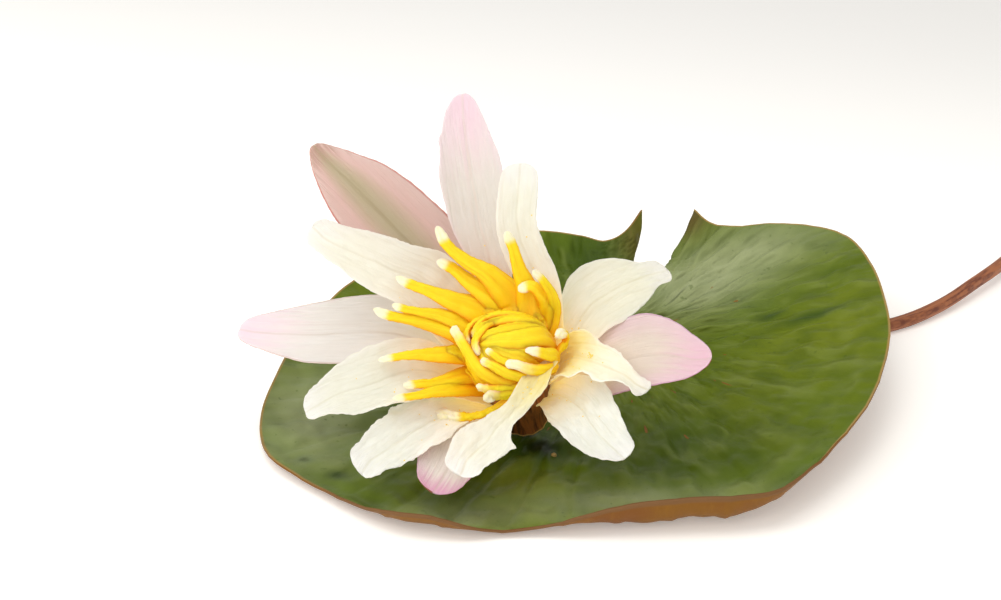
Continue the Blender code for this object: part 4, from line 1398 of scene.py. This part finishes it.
@dataclass(frozen=True)
class LeafUnderside:
    """The finish of the pad's lower face and its ribs: satin red-brown to ochre, with a brown rim."""

    name: str = "leaf_underside_red_brown"
    skin: str = "80530C"
    red: str = "7A4A14"
    ochre: str = "8F6316"
    rim: str = "785430"

    def material(self) -> Material:
        """Builds the material on the leaf's place and span.

        Returns:
            The material.
        """
        material, node, shader = new_material(self.name)
        place = node(SPLIT, {0: node(KEPT, out="Vector", attribute_name="place")}, ALL)
        span = node(KEPT, out="Vector", attribute_name="span")
        drift = node(NOISE, {"Vector": node("ShaderNodeTexCoord", out="Object"), "Scale": 60.0, "Detail": 4.0})
        red = node(RANGE, {0: drift, 1: 0.45, 2: 0.68}, **EASED)
        # Fine ochre lines run out from the stalk.
        fine = drawn_out(node, span, (1.4, 0.3, 1.0), 5.0, 0.65)
        lines = node(RANGE, {0: fine, 1: 0.5, 2: 0.75, 4: 0.35}, **EASED)
        # The rim is brown where the lip turns up at the front.
        at_rim = node(RANGE, {0: place[1], 1: 0.991, 2: 0.996}, **EASED)
        brown_rim = node(MATH, {0: at_rim, 1: place[2]}, **TIMES)
        feed(shader, {
            "Base Color": layered(node, self.skin, (red, self.red), (lines, self.ochre), (brown_rim, self.rim)),
            "Normal": node(BUMP, {"Height": fine, "Strength": 0.3, "Distance": 0.0005}),
            "Roughness": 0.5,
            "Specular IOR Level": 0.2,
        })
        return material


@dataclass(frozen=True)
class TonePatch:
    """A patch of the pad's upper face: its middle, its reach, and how far painted sheen, freshness and red go.
    Freshness below nought darkens the leaf, partly as painted shade and painted shadow.
    """

    x: float
    y: float
    reach_x: float
    reach_y: float
    painted_sheen: float = 0.0
    fresh: float = 0.0
    red: float = 0.0

    def share(self, x: float, y: float) -> float:
        """How much of the patch there is at a place."""
        return math.exp(-(((x - self.x) / self.reach_x) ** 2) - ((y - self.y) / self.reach_y) ** 2)


TONES = (
    # Painted sheen at the back right, on the left and along the front.
    TonePatch(28, 34, 15, 12, painted_sheen=0.85),
    TonePatch(46, 42, 14, 9, painted_sheen=0.5),
    TonePatch(-55, -18, 13, 22, painted_sheen=0.75),
    TonePatch(12, -54, 24, 6.5, painted_sheen=0.6, fresh=0.3),
    TonePatch(-24, -60, 14, 6, painted_sheen=0.45, fresh=0.7),
    # Painted shade on the back lobe.
    TonePatch(5, 49, 9, 9, fresh=-1.0),
    # The flower's painted shadow, to the right of its stub.
    TonePatch(24, -32, 17, 11, fresh=-0.5),
    TonePatch(58, -2, 12, 18, fresh=0.45),
    TonePatch(52, 9, 8, 1.7, fresh=-1.3),
    TonePatch(43, 14, 3, 1.2, fresh=-1.2),
    # Painted shadow under the flower's stub, dark as a wet spot.
    TonePatch(-8, -31, 5.5, 5, fresh=-2.2),
    TonePatch(-56, -37, 2.2, 1.8, fresh=-1.6),
    TonePatch(-49, -43, 2.0, 1.8, fresh=-1.6),
    TonePatch(-13, -45, 9, 6, red=1.2),
    TonePatch(15, 52, 4, 6, red=2.5),
    TonePatch(28, 57, 4, 5, fresh=-1.0, red=3.0),
)


@dataclass
class LeafBlade:
    """The pad: a round sheet with a slit to its stalk, its lips turned up, quilted between its veins.

    Rings are closer together towards the rim by crowding. Bearings are turned into millimetres
    round a ring of bearing_radius. The solid's underside is cad_thickness below its upper face.
    A blister and a dimple of the quilting are so long round the leaf and outwards. The veins fork
    fork_at millimetres out, and the ribs follow every rib_rings[2]th ring from the first to the second.
    """

    centre: tuple[float, float] = (7.0, 18.0)
    centre_rise: float = 4.2
    centre_reach: float = 17.0
    settle: float = 0.35
    cad_thickness: float = 0.9
    thickness: float = 0.6
    lip_depth: float = 6.5
    sectors_a_point: int = 10
    rings: int = 72
    crowding: float = 1.5
    bearing_radius: float = 42.0
    quilt_height: float = 1.35
    blister: tuple[float, float] = (3.8, 6.4)
    dimple: tuple[float, float] = (1.8, 3.6)
    edge_round: float = 0.4
    clearance: float = 0.04
    veins: int = 24
    fork_at: float = 28.0
    rib_clearance: float = 0.03
    rib_radius: float = 0.62
    rib_rings: tuple[int, int, int] = (6, 50, 2)
    rib_sides: int = 10
    top: np.ndarray | None = None

    def ring_point(self, rim: list[float], v: float) -> tuple[float, float, float]:
        """A point of the upper face of the solid.

        Args:
            rim: the rim point's x, y, height, power and lip at this place round the leaf.
            v: how far out it is, from 0 at the stalk to 1 at the rim.

        Returns:
            The point.
        """
        x, y, height, power, lip = rim
        across = Vector((x - self.centre[0], y - self.centre[1]))
        reach, lip = across.length, max(lip, 0.0)
        turn = max(0.0, 1 - (1 - v) * reach / self.lip_depth)
        raised = self.centre_rise * (1 - smoothstep(v * reach / self.centre_reach))
        z = max(raised + (height - lip) * v**power - self.settle, 0.0) + lip * (1 - math.cos(turn * math.pi / 2))
        inner = 1 - self.lip_depth / reach
        if turn > 0:
            upright = min(lip / self.lip_depth, 1.0)
            v += upright * (inner + (1 - inner) * math.sin(turn * math.pi / 2) - v)
        return (self.centre[0] + across.x * v, self.centre[1] + across.y * v, z + self.cad_thickness)

    def relief(self, u: float, v: float, bearing: float, reach: float) -> float:
        """How far the quilting lifts the surface off its plain form, in millimetres.

        Args:
            u: how far round the leaf, from 0 to 1.
            v: how far out, from 0 to 1.
            bearing: the rim point's bearing, in radians.
            reach: how far out the rim is.

        Returns:
            The lift.
        """
        out, round_it = v * reach, bearing * self.bearing_radius
        fade = smoothstep(out / 14) * (1 - 0.75 * smoothstep((v - 0.93) / 0.07))
        low = 0.5 + 0.55 * ripple(round_it / self.blister[0], out / self.blister[1], 3)
        small = ripple(round_it / self.dimple[0], out / self.dimple[1], 8)
        forks = self.veins * (1 + smoothstep((out - self.fork_at) / 6))
        off_vein = math.sin(bearing * forks / 2 + 0.25 * ripple(out / 18, u * 9, 2)) * reach / self.veins * 1.3
        return fade * self.quilt_height * (max(low, 0.0) + 0.34 * small - 0.35 * math.exp(-(off_vein**2)))

    def surface(self) -> tuple[np.ndarray, np.ndarray, dict[str, np.ndarray]]:
        """Lays out the upper and lower faces.

        Returns:
            The upper and the lower points, and the place, span and tone vectors.
        """
        sectors = self.sectors_a_point * (len(RIM) - 1)
        columns = [[getattr(point, name) for point in RIM] for name in ("x", "y", "height", "power", "lip")]
        upper, place, span, tone = (np.zeros((sectors + 1, self.rings + 1, 3)) for _ in range(4))
        rise, thick = np.zeros(upper.shape[:2]), np.zeros(upper.shape[:2])
        for i in range(sectors + 1):
            u = i / sectors
            rim = [along(column, u) for column in columns]
            bearing = math.atan2(rim[1] - self.centre[1], rim[0] - self.centre[0])
            # Bearings run on past straight left, so that nothing jumps there.
            bearing -= 2 * math.pi if bearing > 1.2 else 0.0
            reach = math.hypot(rim[0] - self.centre[0], rim[1] - self.centre[1])
            maroon = smoothstep((-42 - rim[1]) / 18) * 0.95 + 0.05
            for j in range(self.rings + 1):
                v = 1 - (1 - j / self.rings) ** self.crowding
                upper[i, j] = self.ring_point(rim, v)
                place[i, j] = (u, v, maroon)
                span[i, j] = (bearing * self.bearing_radius, v * reach, 0.0)
                shares = [patch.share(upper[i, j, 0], upper[i, j, 1]) for patch in TONES]
                for k, name in enumerate(("painted_sheen", "fresh", "red")):
                    tone[i, j, k] = sum(share * getattr(patch, name) for share, patch in zip(shares, TONES))
                rise[i, j] = self.relief(u, v, bearing, reach)
                inset = min((1 - v) * reach, min(u, 1 - u) * sectors * 0.55 * v) / self.edge_round
                thick[i, j] = self.thickness * round_off(inset)
        normals = grid_normals(upper)
        normals *= np.where(normals[..., 2:] < 0, -1.0, 1.0)
        upper = upper + normals * rise[..., None]
        lower = upper - normals * thick[..., None]
        lower[..., 2] = np.maximum(lower[..., 2], self.clearance)
        return upper, lower, {"place": place, "span": span, "tone": tone}

    def rib_paths(self, lower: np.ndarray, span: np.ndarray) -> Mesh:
        """Draws the ribs of the lower face: each runs out from the stalk and forks once.

        Args:
            lower: the lower face's points.
            span: the span vectors of the same points.

        Returns:
            A mesh of their lines, in metres, which keeps their half widths and spans.
        """
        points, halves, edges, spans = [], [], [], []
        sectors = lower.shape[0] - 1
        for k in range(self.veins):
            middle = (k + 0.5) / self.veins * sectors
            for fork in (-1, 1):
                before = None
                for j in range(*self.rib_rings):
                    t = j / self.rings
                    if t < 0.42 and fork > 0 and j % 4:
                        continue
                    aside = fork * sectors / self.veins * 0.26 * smoothstep((t - 0.38) / 0.4)
                    row = int(min(max(middle + aside, 1), sectors - 1))
                    spot = Vector(lower[row, j])
                    # Where the leaf lies on the table a rib has only the room up to the upper face.
                    top = spot.z + 0.7 * self.thickness
                    half = min(self.rib_radius * (1 - 0.8 * t) + 0.06, (top - self.rib_clearance) / 2)
                    spot.z = min(max(spot.z - 0.3 * half, half + self.rib_clearance), top - half)
                    points.append(spot * MM)
                    halves.append(half * MM)
                    spans.append(span[row, j])
                    if before is not None:
                        edges.append((before, len(points) - 1))
                    before = len(points) - 1
        paths = bpy.data.meshes.new("rib_paths")
        paths.from_pydata(points, edges, [])
        keep(paths, {"half_width": halves, "span": spans})
        return paths

    def rib_tree(self) -> NodeTree:
        """Builds the geometry nodes that run a round rib along each path.

        Returns:
            The node group, with the inputs Sides and Material.
        """
        tree, node, given = new_tree("leaf_rib_sweep", {"Sides": "Int"})
        half = node(NAMED, {"Name": "half_width"}, data_type="FLOAT")
        path = node("GeometryNodeMeshToCurve", {0: given["Geometry"]})
        ring = node("GeometryNodeCurvePrimitiveCircle", {"Resolution": given["Sides"], "Radius": 1.0})
        ribs = node(SWEEP, {"Curve": path, "Profile Curve": ring, "Scale": half, "Fill Caps": True})
        end_tree(node, given, ribs)
        return tree

    def build(self) -> None:
        """Makes the pad and the ribs under it."""
        self.top, lower, fields = self.surface()
        wax, under = LeafWax().material(), LeafUnderside().material()
        sheet = closed_sheet("pad", self.top, lower, fields)
        hand_over(new_piece("pad", sheet, wax, under), Slot.LEAF, "leaf_blade")
        paths = self.rib_paths(lower, fields["span"])
        settings = {"Sides": self.rib_sides, "Material": under}
        hand_over(run_nodes("pad_ribs", paths, self.rib_tree(), settings), Slot.LEAF)


@dataclass
class LeafStalk:
    """The pad's stalk: a round, faintly ribbed stem that runs out from under the leaf to its cut end.

    Its finish is laid out over marked_length millimetres, each end is closed in over so many caps,
    and it stays clear of the table by clearance.
    """

    route: tuple[tuple[float, float, float], ...] = (
        (9.0, 18.3, 2.0), (20.0, 18.6, 1.7), (34.0, 18.8, 1.6), (48.0, 19.4, 1.6), (61.0, 21.6, 1.6),
        (72.5, 26.3, 1.6), (82.5, 34.0, 2.0), (92.0, 44.6, 2.7), (100.5, 56.0, 2.7), (107.0, 68.5, 2.0),
        (111.5, 82.0, 1.6),
    )
    radius: float = 1.5
    steps: int = 300
    sides: int = 40
    caps: int = 6
    ridges: int = 6
    clearance: float = 0.03
    marked_length: float = 140.0

    def build(self) -> None:
        """Draws the stem along its route, closes it at both ends and dresses it."""
        columns = [[corner[axis] for corner in self.route] for axis in range(3)]
        middle = [Vector(along(column, i / self.steps) for column in columns) for i in range(self.steps + 1)]
        rows = self.steps + 1 + 2 * self.caps
        points, place = np.zeros((self.sides, rows, 3)), np.zeros((self.sides, rows, 3))
        for j in range(rows):
            k = min(max(j - self.caps, 0), self.steps)
            ahead = (middle[min(k + 1, self.steps)] - middle[max(k - 1, 0)]).normalized()
            flat = ahead.cross(Vector((0.0, 0.0, 1.0))).normalized()
            up = flat.cross(ahead)
            share = min(j / self.caps, (rows - 1 - j) / self.caps, 1.0)
            length = k / self.steps * self.marked_length
            for i in range(self.sides):
                angle = 2 * math.pi * i / self.sides
                ridge = math.sin(angle * self.ridges + length / 30)
                uneven = 0.03 * ridge + 0.03 * ripple(length / 6, math.sin(angle), 5)
                radius = self.radius * (0.965 + uneven) * share
                spot = middle[k] + (flat * math.cos(angle) + up * math.sin(angle)) * radius
                points[i, j] = (spot.x, spot.y, max(spot.z, self.clearance))
                place[i, j] = (math.cos(angle) * 2.2 + math.sin(angle), length, 0.0 if share == 1 else 1.0)
        mesh = turned_mesh("pad_stalk", points, place)
        finish = CutStem("stalk_red_brown", "A3623A", "6A3420", "C79A62", (1.0, 0.09, 0.0))
        hand_over(new_piece("pad_stalk", mesh, finish.material()), Slot.STALK, "leaf_stalk")


# ---------------------------------------------------------------- the fallen pollen


@dataclass(frozen=True)
class CrumbPatch:
    """Pollen crumbs on a blade: round which place, how many, and how far they stray, all as shares."""

    blade: str
    s: float
    v: float
    count: int
    stray: tuple[float, float]


CRUMB_PATCHES = (
    CrumbPatch("petal_right", 0.48, 0.27, 14, (0.012, 0.035)),
    CrumbPatch("petal_right", 0.3, 0.0, 16, (0.14, 0.4)),
    CrumbPatch("petal_front", 0.25, 0.0, 12, (0.14, 0.3)),
    CrumbPatch("petal_front_right", 0.3, 0.1, 8, (0.16, 0.3)),
    CrumbPatch("petal_back_right", 0.22, 0.1, 14, (0.12, 0.4)),
    CrumbPatch("petal_upright", 0.3, 0.1, 12, (0.2, 0.4)),
    CrumbPatch("petal_back", 0.25, 0.0, 12, (0.16, 0.4)),
    CrumbPatch("petal_back_left", 0.32, 0.2, 14, (0.2, 0.4)),
    CrumbPatch("petal_left", 0.34, 0.1, 16, (0.2, 0.4)),
    CrumbPatch("petal_front_left", 0.32, 0.1, 16, (0.2, 0.4)),
    CrumbPatch("sepal_left", 0.24, 0.2, 6, (0.1, 0.3)),
)


@dataclass(frozen=True)
class CrumbFinish:
    """The finish of a crumb: clotted yellow pollen, or brown where it has dried."""

    name: str = "pollen_crumb_yellow"
    fresh: str = "FFDC4E"
    dried: str = "A98C52"

    def material(self) -> Material:
        """Builds the material on each crumb's own dryness."""
        material, node, shader = new_material(self.name)
        dryness = node(KEPT, out="Fac", attribute_name="dryness")
        clots = node(NOISE, {"Vector": node("ShaderNodeTexCoord", out="Object"), "Scale": 4000.0, "Detail": 2.0})
        feed(shader, {
            "Base Color": layered(node, self.fresh, (dryness, self.dried)),
            "Normal": node(BUMP, {"Height": clots, "Strength": 0.5, "Distance": 0.0001}),
            "Roughness": 0.75,
        })
        return material


@dataclass
class PollenCrumbs:
    """Crumbs of pollen on the petals round the stamens, and one dried crumb on the pad."""

    perianth: Perianth
    leaf: LeafBlade
    radius: tuple[float, float] = (0.08, 0.18)
    dried_spot: tuple[float, float] = (-4.9, -34.0)
    dried_radius: float = 0.6
    roughness: float = 0.12
    lump_scale: float = 2600.0
    seed: int = 17
    turn_seed: int = 5

    def crumb_tree(self) -> NodeTree:
        """Builds the geometry nodes that set a rough crumb on each point.

        Returns:
            The node group, with the inputs Roughness, Seed and Material.
        """
        tree, node, given = new_tree("crumb_scatter", {"Roughness": "Float", "Seed": "Int"})
        points = node("GeometryNodeMeshToPoints", {0: given["Geometry"]})
        ball = node("GeometryNodeMeshIcoSphere", {"Radius": 1.0, "Subdivisions": 2})
        limits = {"Min": (0.0, 0.0, 0.0), "Max": (6.28, 6.28, 6.28), "Seed": given["Seed"]}
        turn = node("FunctionNodeRandomValue", limits, data_type="FLOAT_VECTOR")
        size = node(NAMED, {"Name": "size"}, data_type="FLOAT")
        links = {"Points": points, "Instance": ball, "Rotation": turn, "Scale": size}
        crumbs = node("GeometryNodeRealizeInstances", {0: node("GeometryNodeInstanceOnPoints", links)})
        lumps = node(NOISE, {"Scale": self.lump_scale, "Detail": 1.0})
        lumps = node(MATH, {0: lumps, 1: 0.5}, operation="SUBTRACT")
        rise = node(MATH, {0: lumps, 1: given["Roughness"]}, **TIMES)
        offset = node(VECTOR, {0: node("GeometryNodeInputNormal"), "Scale": rise}, operation="SCALE")
        end_tree(node, given, node(MOVE, {"Geometry": crumbs, "Offset": offset}))
        return tree

    def build(self) -> None:
        """Strews the crumbs over the finished surfaces."""
        rng = np.random.default_rng(self.seed)
        spots, sizes = [], []
        for patch in CRUMB_PATCHES:
            for _ in range(patch.count):
                s = max(0.05, min(0.8, patch.s + rng.normal() * patch.stray[0]))
                v = max(-0.85, min(0.85, patch.v + rng.normal() * patch.stray[1]))
                spots.append(self.perianth.spot(patch.blade, s, v))
                sizes.append(rng.uniform(*self.radius))
        away = np.hypot(self.leaf.top[..., 0] - self.dried_spot[0], self.leaf.top[..., 1] - self.dried_spot[1])
        spots.append(self.leaf.top.reshape(-1, 3)[int(np.argmin(away))])
        sizes.append(self.dried_radius)
        points = bpy.data.meshes.new("crumb_points")
        points.from_pydata([spot * MM for spot in spots], [], [])
        dryness = [0.0] * (len(spots) - 1) + [1.0]
        keep(points, {"size": [size * MM for size in sizes], "dryness": dryness})
        finish = CrumbFinish().material()
        settings = {"Roughness": self.roughness * MM, "Seed": self.turn_seed, "Material": finish}
        hand_over(run_nodes("pollen_crumbs", points, self.crumb_tree(), settings), Slot.STAMEN)


# ---------------------------------------------------------------- the studio


@dataclass
class Studio:
    """A pale sweep of table with painted falloff and a faint painted glow, a broad soft light from the left, a
    bright room, and the camera.
    """

    table_size: float = 8.0
    table_glow: float = 0.27
    room_light: float = 0.67
    camera_place: tuple[float, float, float] = (-0.01599, -0.57632, 0.30114)
    camera_tilt: float = 64.0
    lens: float = 108.9
    sensor: float = 36.0
    near: float = 0.01

    def table(self) -> None:
        """Lays the pale table top."""
        mesh = bpy.data.meshes.new("table")
        bm = bmesh.new()
        bmesh.ops.create_grid(bm, x_segments=4, y_segments=4, size=self.table_size / 2)
        bm.to_mesh(mesh)
        bm.free()
        material, node, shader = new_material("table_white_paper")
        there = node("ShaderNodeTexCoord", out="Object")
        tooth = node(NOISE, {"Vector": there, "Scale": 6.0, "Detail": 2.0})
        # Painted light falloff: the sweep darkens to a faintly warm grey towards the back and a little to the
        # right.
        distance = node(VECTOR, {0: there, 1: (0.3, 1.0, 0.0)}, "Value", operation="DOT_PRODUCT")
        back = node(RANGE, {0: distance, 1: 0.01, 2: 0.29}, **EASED)
        colour = layered(node, "FBFAF7", (tooth, "F7F5F1"), (back, "CFCECC"))
        feed(shader, {
            "Base Color": colour,
            # The table glows a little: painted light that lifts the shadows on it.
            "Emission Color": colour,
            "Emission Strength": self.table_glow,
            "Roughness": 0.8,
        })
        new_piece("table", mesh, material)

    def light(self, name: str, place: tuple[float, ...], size: float, power: float, colour: str) -> None:
        """Hangs a square soft light that looks at the plant.

        Args:
            name: the light's name.
            place: where it hangs, in metres.
            size: the length of its side, in metres.
            power: its power, in watts.
            colour: its sRGB colour.
        """
        lamp = bpy.data.lights.new(name, "AREA")
        lamp.shape, lamp.size, lamp.energy = "SQUARE", size, power
        lamp.color = linear(colour)[:3]
        holder = bpy.data.objects.new(name, lamp)
        holder.location = place
        holder.rotation_euler = (-Vector(place)).to_track_quat("-Z", "Y").to_euler()
        bpy.context.scene.collection.objects.link(holder)

    def build(self) -> None:
        """Sets the table, the lights, the room's own light and the camera."""
        scene = bpy.context.scene
        self.table()
        scene.world = scene.world or bpy.data.worlds.new("studio")
        scene.world.use_nodes = True
        room = {"Color": linear("FFFDFA"), "Strength": self.room_light}
        feed(scene.world.node_tree.nodes["Background"], room)
        self.light("window_left", (-1.1, -0.1, 1.0), 0.9, 5.6, "FFFFFF")
        self.light("window_front", (-0.35, -1.15, 0.95), 0.9, 4.6, "FFFCF6")
        self.light("light_above", (-0.15, -0.1, 1.4), 0.8, 4.7, "FFFDF8")
        camera = bpy.data.objects.new("camera", bpy.data.cameras.new("camera"))
        camera.location = self.camera_place
        camera.rotation_euler = (math.radians(self.camera_tilt), 0.0, 0.0)
        camera.data.lens = self.lens
        camera.data.sensor_width = self.sensor
        camera.data.clip_start = self.near
        scene.collection.objects.link(camera)
        scene.camera = camera
        scene.view_settings.view_transform = "Standard"


def main() -> None:
    """Builds the studio and the plant's sub-assemblies in order."""
    Studio().build()
    leaf = LeafBlade()
    leaf.build()
    LeafStalk().build()
    flower = FlowerFrame()
    FlowerBase(flower).build()
    perianth = Perianth(flower)
    perianth.build()
    Stamens(flower).build()
    PollenCrumbs(perianth, leaf).build()


if __name__ == "__main__":
    main()
